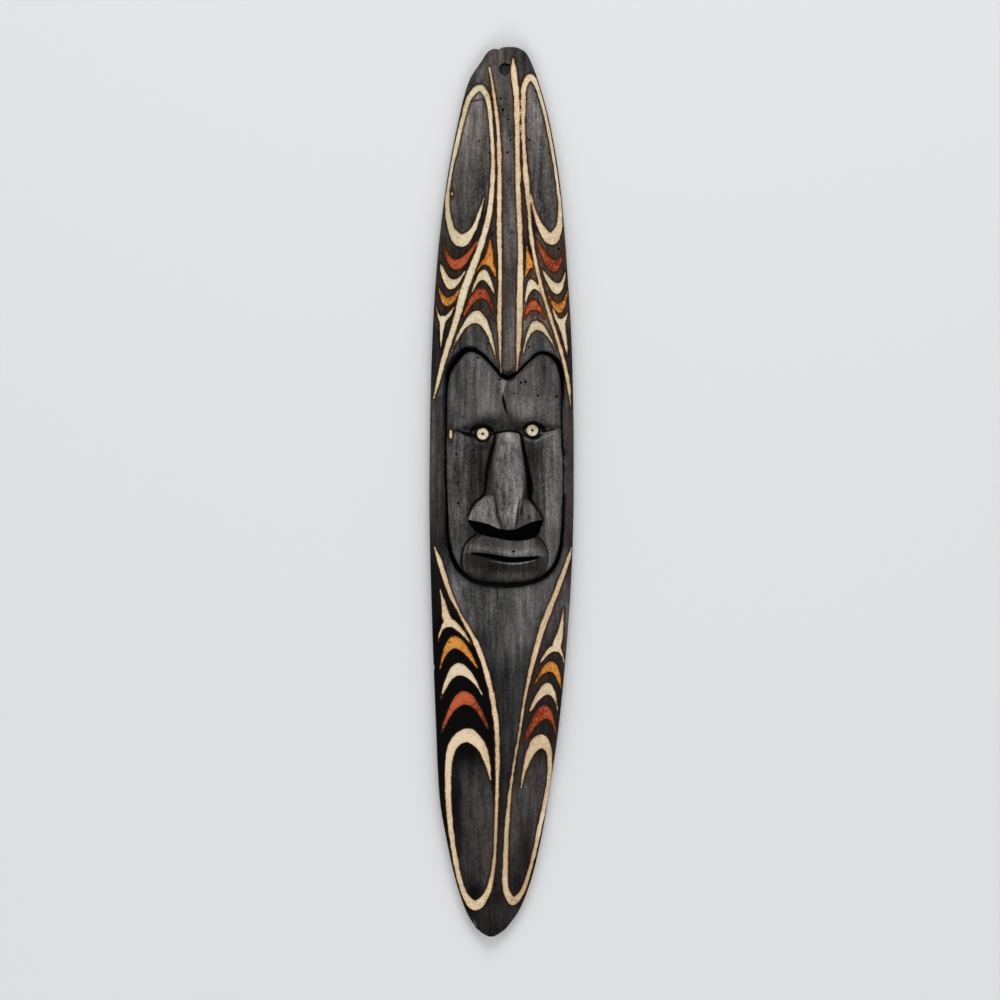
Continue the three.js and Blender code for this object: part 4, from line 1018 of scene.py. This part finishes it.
def strip_between(upper, upper_places, lower, lower_places, count):
    """Triangles between two rings that run the same way, matched by their places along the edge."""
    upper = np.append(upper, upper[0])
    lower = np.append(lower, lower[0])
    upper_places = np.append(upper_places, upper_places[0] + count)
    lower_places = np.append(lower_places, lower_places[0] + count)
    faces = []
    i = 0
    j = 0
    while i < len(upper) - 1 or j < len(lower) - 1:
        lower_next = i == len(upper) - 1
        if not lower_next and j < len(lower) - 1:
            lower_next = lower_places[j + 1] < upper_places[i + 1]
        if lower_next:
            faces.append((upper[i], lower[j], lower[j + 1]))
            j += 1
        else:
            faces.append((upper[i], lower[j], upper[i + 1]))
            i += 1
    return np.array(faces)


def front_points(outline, rng):
    """The points that carry the front's form, close together in the face."""
    x, y = spread_points(board_low, board_high, FRONT_POINT_STEP, rng)
    keep = face_inwards(x, y) < -FACE_MARGIN
    face_low = face_line[:, :2].min(axis=0)
    face_high = face_line[:, :2].max(axis=0)
    fine_x, fine_y = spread_points(face_low, face_high, FACE_POINT_STEP, rng)
    fine = face_inwards(fine_x, fine_y) > -FACE_MARGIN
    x = np.concatenate([x[keep], fine_x[fine]])
    y = np.concatenate([y[keep], fine_y[fine]])
    keep = inside_loop(x, y, inset(outline, EDGE_CLEARANCE))
    keep &= distance_from(x, y, HANGING_HOLE) > HANGING_HOLE_DIAMETER / 2 + EDGE_CLEARANCE
    inner = []
    for _, edges, line in painted:
        gap = painted_distance(x, y, edges, line)
        keep &= (np.abs(gap) > PAINT_EDGE_CLEARANCE) & (np.abs(gap + GROOVE_WALL) > WALL_FOOT_CLEARANCE)
        inner.append(points_between(edges))
    for hole_across, hole_up, diameter in WORM_HOLES:
        keep &= distance_from(x, y, (hole_across, hole_up)) > WORM_HOLE_CLEARANCE * diameter
        inner += [circle(across(hole_across), up(hole_up), share * diameter / 2, WORM_HOLE_SIDES)
                  for share in WORM_HOLE_RINGS]
    return np.vstack([np.stack([x[keep], y[keep]], axis=1), *inner])


def add_attribute(mesh, name, values):
    """A value at each vertex, for the materials to read."""
    attribute = mesh.attributes.new(name, "FLOAT", "POINT")
    attribute.data.foreach_set("value", np.asarray(values, np.float32))


def new_surface(piece, vertices, faces, sharp_angle):
    """A mesh from vertices in millimetres, which stands in for one piece of the CAD model."""
    mesh = bpy.data.meshes.new(piece + "_surface")
    mesh.from_pydata((np.asarray(vertices) * MM).tolist(), [], [list(map(int, face)) for face in faces])
    mesh.polygons.foreach_set("use_smooth", np.ones(len(mesh.polygons), bool))
    mesh.update()
    mesh.set_sharp_from_angle(angle=math.radians(sharp_angle))
    surface = bpy.data.objects.new(piece + "_surface", mesh)
    bpy.context.scene.collection.objects.link(surface)
    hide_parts(piece)
    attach(surface, "root")
    return mesh


def make_board(material):
    """The carved board: its front with every cut, its rounded sides, its hanging hole and its back."""
    rng = np.random.default_rng(SEED)
    outline = board_outline()
    top_loop = inset(outline, EDGE_ROUNDING)
    hole = (across(HANGING_HOLE[0]), up(HANGING_HOLE[1]))
    front_hole = circle(*hole, HANGING_HOLE_DIAMETER / 2 + HOLE_FLARE, HOLE_SIDES)
    loops = [top_loop] + [np.vstack([edges[0], edges[1][::-1]]) for _, edges, _ in painted]
    flat, front_faces, ring, hole_front = triangulate(loops, front_hole, front_points(top_loop, rng))
    front = np.column_stack([flat, front_height(flat[:, 0], flat[:, 1])])
    ring, places = ring_from_lowest(ring, top_loop, flat)

    parts = [front]
    faces = [front_faces]
    count = len(front)
    edge_height = front[ring, 2]
    sides = [(EDGE_ROUNDING * out, edge_height - drop) for out, drop in ROUNDED_EDGE]
    sides += [(inwards, np.full(len(ring), height)) for inwards, height in LOWER_EDGE]
    for inwards, height in sides:
        side_ring = count + np.arange(len(ring))
        parts.append(np.column_stack([loop_at(inset(outline, inwards), places), height]))
        faces.append(strip_between(ring, places, side_ring, places, len(outline)))
        count += len(ring)
        ring = side_ring

    x, y = spread_points(board_low, board_high, BACK_POINT_STEP, rng)
    keep = inside_loop(x, y, inset(outline, BACK_POINT_INSET))
    keep &= np.hypot(x - hole[0], y - hole[1]) > HANGING_HOLE_DIAMETER / 2 + BACK_HOLE_CLEARANCE
    inner = np.stack([x[keep], y[keep]], axis=1)
    back_loop = inset(outline, BACK_INSET)
    back_hole = circle(*hole, HANGING_HOLE_DIAMETER / 2, HOLE_SIDES)
    flat, back_faces, back_ring, hole_back = triangulate([back_loop], back_hole, inner)
    back = np.column_stack([flat, np.zeros(len(flat))])
    back[len(back) - len(inner):, 2] = rng.uniform(0, BACK_UNEVENNESS, len(inner))
    back_ring, back_places = ring_from_lowest(back_ring, back_loop, flat)
    parts.append(back)
    faces.append(back_faces[:, ::-1] + count)
    faces.append(strip_between(ring, places, back_ring + count, back_places, len(outline)))
    hole_back = hole_back + count
    count += len(back)

    parts.append(np.column_stack([back_hole, front[hole_front, 2] - HOLE_EDGE_DROP]))
    step = np.arange(HOLE_SIDES)
    after = (step + 1) % HOLE_SIDES
    for upper, lower in ((hole_front, count + step), (count + step, hole_back)):
        faces.append(np.stack([upper[step], upper[after], lower[after]], axis=1))
        faces.append(np.stack([upper[step], lower[after], lower[step]], axis=1))
    vertices = np.vstack(parts)
    mesh = new_surface("carved_board", vertices, np.vstack(faces), BOARD_SHARP_ANGLE)
    mark_surface(mesh, vertices)
    mesh.materials.append(material)


def line_strength(x, y, soft, stations):
    """1 on a soft line, and 0 beyond its soft edge."""
    gap = line_distance(x, y, smooth_line(stations, LINE_POINT_STEP))
    return 1 - smoothstep(gap, -soft, soft)


def lines_darkness(x, y, lines):
    """How strongly some soft dark lines lie at each place."""
    stain_and_shade = np.zeros(x.shape)
    for strength, soft, stations in lines:
        stain_and_shade = np.maximum(stain_and_shade, strength * line_strength(x, y, soft, stations))
    return stain_and_shade


def face_stain_and_shade(x, y):
    """How strongly dark stain and painted shade lie in the face's hollows, slits and seams, with painted
    shadow under the nose.
    """
    stain_and_shade = lines_darkness(x, y, FACE_STAIN_AND_SHADE_LINES)
    # Painted shade in the mouth slit
    stain_and_shade = np.maximum(stain_and_shade, 1 - smoothstep(line_distance(x, y, mouth_line), 0, MOUTH_SHADE_SOFTNESS))
    share = share_up(y)
    p = share_across(x) - FACE_MIDDLE
    below = (between(NOSE_FOOT_LINE, p) - share) / 100 * BOARD_LENGTH
    above = (share - between(LIP_TOP_LINE, p)) / 100 * BOARD_LENGTH
    within = np.abs(p - NOSE_UNDERCUT_MIDDLE) < NOSE_UNDERCUT_HALF_WIDTH
    within = np.where(within, np.minimum(below, above), -LINE_REACH)
    # Painted shadow in the hollow under the nose
    stain_and_shade = np.maximum(stain_and_shade, smoothstep(within, *UNDERCUT_SHADOW))
    for eye in EYES.values():
        beside_eye = distance_from(x, y, eye) < EYE_BROWN_RIM_RADIUS
        stain_and_shade = np.where(beside_eye, np.minimum(stain_and_shade, EYE_RIM_STAIN_AND_SHADE), stain_and_shade)
    return stain_and_shade


def zone(x, y, *lines):
    """True inside the loop that some lines make one after another."""
    return inside_loop(x, y, np.vstack([line[:, :2] for line in lines]))


def stretch(name, first=None, last=None):
    """A band's points between two of its stations."""
    line = band_lines[name]
    ends = []
    for station in (first, last):
        if station is not None:
            station = int(np.argmin(distance_from(line[:, 0], line[:, 1], BANDS[name][station][:2]))) + 1
        ends.append(station)
    return line[ends[0]:ends[1]]


def by_side(p, pair):
    """The first of a pair left of the face's middle, and the second right of it."""
    return np.where(p < 0, *pair)


def face_tone_and_painted_light(x, y):
    """The face's grey, with painted highlights on its high places and painted shade in its hollows and on
    the sides turned from the light.
    """
    share = share_up(y)
    p = share_across(x) - FACE_MIDDLE
    side = np.abs(p)
    rim = smoothstep(side, *CHEEK_RIM_FADE)
    cheek = lerp(by_side(p, CHEEK_TONE), by_side(p, CHEEK_RIM_TONE), rim)
    cheek = cheek - by_side(p, CHEEK_FOOT_DROP) * smoothstep(CHEEK_FOOT - share, 0, CHEEK_FOOT_FADE)
    eye_line = between(EYE_LINE, p)
    middle_drop = FOREHEAD_MIDDLE_DROP * bell(p, 0, FOREHEAD_DROP_HALF_WIDTH)
    middle_drop = middle_drop * bell(share, FOREHEAD_FOOT, FOREHEAD_DROP_HALF_HEIGHT)
    top_drop = by_side(p, FOREHEAD_TOP_DROP) * smoothstep(share - FOREHEAD_FOOT, 0, FOREHEAD_TOP_FADE)
    forehead = FOREHEAD_TONE - middle_drop - top_drop
    # Painted shade in the brow's recess
    recess = RECESS_TONE - RECESS_DROP * bell(side, RECESS_MIDDLE, RECESS_HALF_WIDTH)
    upwards = smoothstep(share, eye_line + RECESS_FADE[0], between(BROW_LINE, p) + RECESS_FADE[1])
    tone = np.where(share > eye_line, lerp(recess, forehead, upwards), cheek)

    # The nose: painted highlights on its ridge and tip, and painted shade on its sides
    ridge = between(NOSE_RIDGE_HALF_WIDTH, share)
    base = between(NOSE_BASE_HALF_WIDTH, share)
    nose_foot = between(NOSE_FOOT_LINE, p)
    beside_nose = p + FACE_MIDDLE - NOSE_MIDDLE
    from_nose = np.abs(beside_nose)
    on_nose = (share < eye_line) & (from_nose < base) & (share > nose_foot - NOSE_TONE_OVERLAP)
    crown = NOSE_TONE + NOSE_RIDGE_HIGHLIGHT * bell(beside_nose, 0, NOSE_RIDGE_HIGHLIGHT_HALF_WIDTH)
    crown = crown + NOSE_TIP_HIGHLIGHT * bell(share, NOSE_TIP_UP, NOSE_TIP_HIGHLIGHT_HALF_HEIGHT)
    past_crown = from_nose / ridge - by_side(p, NOSE_CROWN_SHARE)
    nose = lerp(crown, by_side(p, NOSE_SIDE_SHADE_TONE), smoothstep(past_crown, 0, NOSE_SIDE_FADE))
    tone = np.where(on_nose, nose, tone)
    # The wings: the left one painted lit, the right one painted in shade
    for wing, level in zip(NOSE_WINGS, NOSE_WING_LIGHT_AND_SHADE_TONE):
        swell = swelling(wing, beside_nose, share)
        on_wing = (swell > WING_RIM) & (share > nose_foot) & (from_nose > ridge)
        wing_tone = lerp(WING_RIM_SHARE * level, level, smoothstep(swell, *WING_FADE))
        tone = np.where(on_wing, wing_tone, tone)

    # The lips: a painted highlight on the upper lip's crest, and painted shade on the lower lip
    slit = between([(across(a), u) for a, u, _ in MOUTH_SLIT], x)
    crest = bell(share - slit, UPPER_LIP_CREST, UPPER_LIP_HALF_HEIGHT)
    upper_lip = lerp(UPPER_LIP_TONE, UPPER_LIP_HIGHLIGHT_TONE, crest)
    chin = lerp(LOWER_LIP_SHADE_TONE, CHIN_TONE, smoothstep(slit - share, *CHIN_FADE))
    mouth = lerp(chin, upper_lip, smoothstep(share - slit, -LIP_FADE, LIP_FADE))
    on_lips = smoothstep(swelling(LIPS, p, share), *LIPS_FADE) * (share < between(LIP_TOP_LINE, p))
    return lerp(tone, mouth, on_lips)


def surface_tones(x, y, inwards):
    """The wood's grey at each place, from 0 to 255, with painted highlights and painted shade, and how
    brown it is, from 0 to 1.
    """
    share = share_up(y)
    upper = share > 50
    crescents = nearest_painted(x, y, lambda colour, line: line is None)
    ground = 1 - smoothstep(crescents, *GROUND_FADE)
    tone = lerp(between(MARGIN_TONE, share), between(GROUND_TONE, share), ground)
    right = x > across(RIGHT_SIDE_STARTS)
    outer = smoothstep(np.abs(share_across(x)), *OUTER_LIFT_STARTS)
    right_lift = np.where(upper, lerp(*UPPER_RIGHT_LIFT, outer), between(LOW_RIGHT_LIFT, share))
    left_lift = np.where(upper, lerp(*UPPER_LEFT_LIFT, outer), 0)
    lifted = np.where(right & (share < LOW_RIGHT_LIFT[-1][0]), 1, ground)
    tone = tone + np.where(right, right_lift, left_lift) * lifted
    lower_brown = np.where(right, LOW_RIGHT_BROWN, LOW_LEFT_BROWN)
    upper_brown = UPPER_BROWN * smoothstep(share, *UPPER_BROWN_STARTS)
    brown = lerp(MARGIN_BROWN, np.where(upper, upper_brown, lower_brown), ground)
    for outer_band, inner_band, station in LOBES:
        lobe = zone(x, y, stretch(outer_band, station), band_lines[inner_band][::-1])
        lobe_share = smoothstep(LOBE_TOP - share, 0, LOBE_FADE)
        tone = np.where(lobe, lerp(tone, LOBE_GROUND_TONE, lobe_share), tone)
        brown = np.where(lobe, brown * smoothstep(share, *LOBE_BROWN_STARTS), brown)
    beside_face = (x > across(BESIDE_FACE_STARTS)) & (share > BESIDE_FACE[0]) & (share < BESIDE_FACE[1])
    tone = np.where(beside_face, BESIDE_FACE_SHARE * tone, tone)

    low_lobe = zone(x, y, stretch("lower_right", 5, 8), stretch("lower_right", 19)[::-1])
    neck = zone(x, y, stretch("lower_left", None, 10), stretch("lower_right", None, 10)[::-1])
    strip = zone(x, y, band_lines["left_middle"], band_lines["right_middle"][::-1])
    areas = [(low_lobe, LOW_LOBE_TONE, brown), (neck, NECK_TONE, 0), (strip, STRIP_TONE, STRIP_BROWN)]
    for name, ends in OVAL_STATIONS.items():
        areas.append((zone(x, y, stretch(name, *ends)), OVAL_TONE, OVAL_BROWN))
    for area, tones, area_brown in areas:
        tone = np.where(area, between(tones, share), tone)
        brown = np.where(area, area_brown, brown)
    for outer_band, middle_band, _ in LOBES:
        gap = line_distance(x, y, band_lines[middle_band], reach=LINE_PAIR_REACH)
        other = line_distance(x, y, band_lines[outer_band], reach=LINE_PAIR_REACH)
        seam = (gap < LINE_PAIR_GAP) & (other < LINE_PAIR_GAP) & (share > LINE_PAIR_FOOT)
        brown = np.where(seam, LINE_PAIR_BROWN, brown)
        tone = np.where(seam, LINE_PAIR_TONE, tone)
    tone = np.where(inwards > 0, face_tone_and_painted_light(x, y), tone)
    brown = np.where(inwards > 0, FACE_BROWN, brown)
    for eye in EYES.values():
        rim = 1 - smoothstep(distance_from(x, y, eye) - EYE_BROWN_RIM_RADIUS, 0, EYE_BROWN_RIM_FADE)
        brown = np.maximum(brown, EYE_RIM_BROWN * rim)
        tone = lerp(tone, EYE_BROWN_RIM_TONE, rim)
    # Painted highlights, and places rubbed pale
    for level, soft, stations in HIGHLIGHT_AND_RUBBED_LINES:
        tone = lerp(tone, level, HIGHLIGHT_AND_RUBBED_STRENGTH * line_strength(x, y, soft, stations))
    # Painted shade and painted light on the face, and darker stain, rubbing, painted shade and sheen on the
    # ends and ovals
    for *patch, change in PAINTED_LIGHT_AND_WEAR_PATCHES:
        tone = tone * (1 + change * bell(patch_reach(x, y, patch), 0, 1))
    ragged = 1 - smoothstep(patch_reach(x, y, RAGGED_END), *RAGGED_FADE)
    return tone, np.maximum(brown, RAGGED_BROWN * ragged)


def mark_surface(mesh, vertices):
    """The distances and tones that the board's material reads."""
    x, y, z = vertices.T
    inwards = face_inwards(x, y)
    tone, brown = surface_tones(x, y, inwards)
    add_attribute(mesh, "groove", line_distance(x, y, face_line, closed=True))
    stain_and_shade = np.maximum(np.where(inwards > 0, face_stain_and_shade(x, y), 0), lines_darkness(x, y, OUTER_STAIN_AND_SHADE_LINES))
    # Painted shade: the worm holes and the hanging hole, with a thin ring round it, are made nearly black
    for *place, diameter in [*WORM_HOLES, (*HANGING_HOLE, HANGING_HOLE_DIAMETER + 2 * HOLE_SHADE_MARGIN)]:
        stain_and_shade = np.where(distance_from(x, y, place) < diameter / 2, HOLE_SHADE, stain_and_shade)
    add_attribute(mesh, "stain_and_shade", stain_and_shade)
    distances = {name: nearest_painted(x, y, lambda colour, line: colour == name) for name in COLOURS}
    for drop in PAINT_DROPS:
        edge = (patch_reach(x, y, drop) - 1) * drop[2]
        distances["cream"] = np.minimum(distances["cream"], edge)
    on_side = z < edge_thickness(y) - PAINT_REACH_DOWN_SIDE
    distances["cream"] = np.where(on_side, LINE_REACH, distances["cream"])
    for name in COLOURS:
        add_attribute(mesh, name, distances[name])
    under = z < UNDER_SIDE_HEIGHT
    add_attribute(mesh, "tone", np.where(under, UNDER_SIDE_TONE, tone) / 255)
    add_attribute(mesh, "brown", np.where(under, UNDER_SIDE_BROWN, brown))
    peach = np.where(y < 0, *PEACH_SHARES)
    for name in PEACH_BANDS:
        peach = np.where(line_distance(x, y, band_lines[name]) < PEACH_REACH, PEACH_BAND_SHARE, peach)
    add_attribute(mesh, "peach", peach)


def linear(rgb):
    """A colour in linear light from its 0 to 255 values."""
    return tuple((value / 255) ** GAMMA for value in rgb) + (1.0,)


class Nodes:
    """A small helper that makes and joins a material's nodes."""

    def __init__(self, name):
        self.material = bpy.data.materials.new(name)
        self.material.use_nodes = True
        self.tree = self.material.node_tree
        self.shader = self.tree.nodes["Principled BSDF"]
        self.place = self.tree.nodes.new("ShaderNodeTexCoord").outputs["Object"]

    def node(self, kind, **values):
        """A node of a kind, with values or other nodes' outputs on its sockets."""
        node = self.tree.nodes.new("ShaderNode" + kind)
        for name, value in values.items():
            self.set(node.inputs[name.replace("_", " ")], value)
        return node

    def set(self, socket, value):
        """A value or another node's output on a socket."""
        if isinstance(value, bpy.types.NodeSocket):
            self.tree.links.new(value, socket)
        else:
            socket.default_value = value

    def attribute(self, name):
        """A value kept at the mesh's vertices."""
        node = self.node("Attribute")
        node.attribute_name = name
        return node.outputs["Fac"]

    def noise(self, scale, detail, roughness=0.55, along=(1, 1, 1)):
        """Noise, about 0.5 on average, with its own scale along each axis."""
        vector = self.node("Mapping", Vector=self.place, Scale=along).outputs["Vector"]
        node = self.node("TexNoise", Vector=vector, Scale=scale, Detail=detail, Roughness=roughness)
        return node.outputs["Fac"]

    def math(self, operation, *values):
        """One number from others, taken in turn."""
        result = values[0]
        for value in values[1:]:
            node = self.node("Math")
            node.operation = operation
            self.set(node.inputs[0], result)
            self.set(node.inputs[1], value)
            result = node.outputs[0]
        return result

    def add(self, *values):
        """The sum of some numbers."""
        return self.math("ADD", *values)

    def times(self, *values):
        """The product of some numbers."""
        return self.math("MULTIPLY", *values)

    def swing(self, texture, strength):
        """A texture's change about nothing, with a strength."""
        return self.times(self.math("SUBTRACT", texture, 0.5), strength)

    def ramp(self, value, low, high, to_low=0.0, to_high=1.0):
        """A value moved smoothly from one range to another, and held at its ends."""
        node = self.node("MapRange", Value=value, From_Min=low, From_Max=high,
                         To_Min=to_low, To_Max=to_high)
        node.interpolation_type = "SMOOTHSTEP"
        return node.outputs["Result"]

    def mix(self, factor, a, b, blend="MIX"):
        """A colour between two colours, or a blend of them."""
        node = self.tree.nodes.new("ShaderNodeMix")
        node.data_type = "RGBA"
        node.blend_type = blend
        self.set(node.inputs["Factor"], factor)
        self.set(node.inputs["A"], a)
        self.set(node.inputs["B"], b)
        return node.outputs["Result"]

    def bump(self, height, strength, distance, **under):
        """A bumped normal from a height, on top of another Normal where one is given."""
        node = self.node("Bump", Height=height, Strength=strength, Distance=distance, **under)
        return node.outputs["Normal"]


def board_material():
    """Black-stained wood with painted lines, their edges a little uneven, and painted shade in its seams,
    slits, holes and grooves.
    """
    m = Nodes("stained_and_painted_wood")
    texture = {name: m.noise(*values) for name, values in WOOD_TEXTURES.items()}
    wobble = m.swing(texture["wobble"], WOBBLE_STRENGTH)
    shift = m.add(0.0, *[m.swing(texture[name], strength) for name, strength in TEXTURE_STRENGTHS.items()])
    shift = m.add(shift, m.times(m.ramp(texture["fibre"], *FIBRE_RANGE), FIBRE_LIFT), 1.0)
    groove = m.add(m.attribute("groove"), wobble)
    beside = m.math("MINIMUM", *[m.attribute(name) for name in COLOURS])
    # The grey, darkened by dark stain and painted shade, by painted shade in and beside the face's groove,
    # and beside the painted shapes
    level = m.times(m.attribute("tone"), shift, m.math("SUBTRACT", 1.0, m.attribute("stain_and_shade")),
                    m.ramp(groove, *GROOVE_SHADE), m.ramp(groove, *BESIDE_GROOVE_SHADE),
                    m.ramp(beside, *BESIDE_PAINT_SHADE))
    light = m.math("POWER", m.math("MAXIMUM", level, DARKEST_LEVEL), GAMMA)
    brown = m.times(m.attribute("brown"), m.ramp(texture["speck"], *BROWN_SPECKS))
    surface = m.mix(1.0, light, m.mix(brown, GREY_CAST, BROWN_CAST), "MULTIPLY")

    patch = texture["patch"]
    worn = m.math("SUBTRACT", 1.0, m.times(m.ramp(texture["speck"], *WORN_SPECKS), WORN_SHARE))
    brush = m.ramp(m.add(m.times(texture["speck"], 0.5), m.times(patch, 0.5)), *BRUSH_RANGE)
    rim_strength = m.ramp(patch, *RIM_PATCHES)
    peach = m.attribute("peach")
    painted_share = 0.0
    for name, (pale, dark) in COLOURS.items():
        if name == "cream":
            pale, dark = (m.mix(peach, linear(cream), linear(pink)) for cream, pink in (pale, dark))
        else:
            pale, dark = linear(pale), linear(dark)
        edge = m.add(m.attribute(name), wobble)
        surface = m.mix(m.times(m.ramp(edge, *RIM_RANGE), rim_strength), surface, linear(RIM_COLOUR))
        inside = m.times(m.ramp(edge, *PAINT_EDGE), worn)
        surface = m.mix(inside, surface, m.mix(brush, pale, dark))
        painted_share = m.math("MAXIMUM", painted_share, inside)
    m.set(m.shader.inputs["Base Color"], surface)
    roughness = m.add(m.ramp(patch, *WOOD_ROUGHNESS), m.times(painted_share, PAINT_ROUGHNESS))
    m.set(m.shader.inputs["Roughness"], roughness)
    m.shader.inputs["Specular IOR Level"].default_value = WOOD_SPECULAR
    coarse = m.bump(texture["grain"], *GRAIN_BUMP)
    m.set(m.shader.inputs["Normal"], m.bump(texture["fine"], *FINE_BUMP, Normal=coarse))
    return m.material


def shell_material():
    """Pale worn shell, brown in its drilled dimple and round its rim."""
    m = Nodes("eye_shell")
    dirt = m.add(m.attribute("dirt"), m.swing(m.noise(*DIRT_TEXTURE), DIRT_STRENGTH))
    shell = m.mix(m.ramp(m.noise(*SHELL_TEXTURE), *SHELL_RANGE), *map(linear, SHELL_COLOURS))
    m.set(m.shader.inputs["Base Color"], m.mix(m.ramp(dirt, *DIRT_RANGE), shell, linear(DIRT_COLOUR)))
    m.shader.inputs["Roughness"].default_value = SHELL_ROUGHNESS
    return m.material


def make_eye(name, material):
    """One eye: a round shell disc with a drilled dimple, in its socket."""
    low, high = (np.array(corner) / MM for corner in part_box(name))
    radius = EYE_DISC_DIAMETER / 2
    dimple = EYE_DIMPLE_DIAMETER / 2
    top = EYE_DISC_THICKNESS
    # Radius, height and dirt at each ring, from the disc's back to the floor of its dimple
    profile = [
        (radius - 0.3, 0, 1), (radius, 0.3, 1), (radius, top - 0.5, 0.9), (radius - 0.15, top - 0.2, 0.7),
        (radius - 0.45, top - 0.03, 0.95), (radius - 0.95, top, 0.15), (dimple + 0.45, top, 0.1),
        (dimple + 0.1, top - 0.05, 0.9), (dimple, top - 0.2, 1),
        (dimple * 0.8, top - EYE_DIMPLE_DEPTH, 1),
    ]
    vertices = []
    for ring_radius, height, _ in profile:
        ring = circle(*(low + high)[:2] / 2, ring_radius, DISC_SIDES)
        vertices += [(x, y, low[2] + height) for x, y in ring]
    faces = []
    for start in range(0, (len(profile) - 1) * DISC_SIDES, DISC_SIDES):
        for i in range(DISC_SIDES):
            j = (i + 1) % DISC_SIDES
            faces.append((start + i, start + j, start + DISC_SIDES + j, start + DISC_SIDES + i))
    faces.append(range(DISC_SIDES)[::-1])
    faces.append(range(len(vertices) - DISC_SIDES, len(vertices)))
    mesh = new_surface(name, vertices, faces, EYE_SHARP_ANGLE)
    add_attribute(mesh, "dirt", np.repeat([ring[2] for ring in profile], DISC_SIDES))
    mesh.materials.append(material)


def make_stage():
    """The pale floor that the board lies on."""
    bpy.ops.mesh.primitive_plane_add(size=FLOOR_SIZE, location=(0, 0, 0))
    floor = bpy.context.object
    floor.name = "floor"
    material = bpy.data.materials.new("pale_floor")
    material.use_nodes = True
    shader = material.node_tree.nodes["Principled BSDF"]
    shader.inputs["Base Color"].default_value = linear(FLOOR_COLOUR)
    shader.inputs["Roughness"].default_value = FLOOR_ROUGHNESS
    shader.inputs["Specular IOR Level"].default_value = FLOOR_SPECULAR
    floor.data.materials.append(material)


def make_light(name, place, size, power):
    """A square soft light aimed at the board's middle."""
    data = bpy.data.lights.new(name, "AREA")
    data.shape = "SQUARE"
    data.size = size
    data.energy = power
    thing = bpy.data.objects.new(name, data)
    thing.location = place
    thing.rotation_euler = (-Vector(place)).to_track_quat("-Z", "Y").to_euler()
    bpy.context.scene.collection.objects.link(thing)


def make_camera():
    """A long lens straight above the board, framed as the photograph is."""
    metres_per_px = BOARD_LENGTH * MM / (BOARD_FOOT_PX - BOARD_TOP_PX)
    data = bpy.data.cameras.new("camera")
    data.sensor_width = SENSOR_WIDTH
    data.lens = SENSOR_WIDTH * CAMERA_DISTANCE / (PHOTO_SIZE * metres_per_px)
    camera = bpy.data.objects.new("camera", data)
    x = BOARD_MIDDLE_X * MM + (PHOTO_SIZE / 2 - BOARD_MIDDLE_PX) * metres_per_px
    y = (FOOT_Y + BOARD_LENGTH / 2) * MM
    y += ((BOARD_TOP_PX + BOARD_FOOT_PX) / 2 - PHOTO_SIZE / 2) * metres_per_px
    camera.location = (x, y, CAMERA_DISTANCE + EDGE_THICKNESS * MM)
    bpy.context.scene.collection.objects.link(camera)
    bpy.context.scene.camera = camera


make_camera()
make_board(board_material())
shell = shell_material()
for eye_name in EYES:
    make_eye(eye_name, shell)
make_stage()
for light in LIGHTS:
    make_light(*light)
world = bpy.data.worlds.new("soft_room")
world.use_nodes = True
background = world.node_tree.nodes["Background"]
background.inputs["Color"].default_value = (1, 1, 1, 1)
background.inputs["Strength"].default_value = ROOM_LIGHT
bpy.context.scene.world = world
bpy.context.scene.view_settings.view_transform = "Standard"
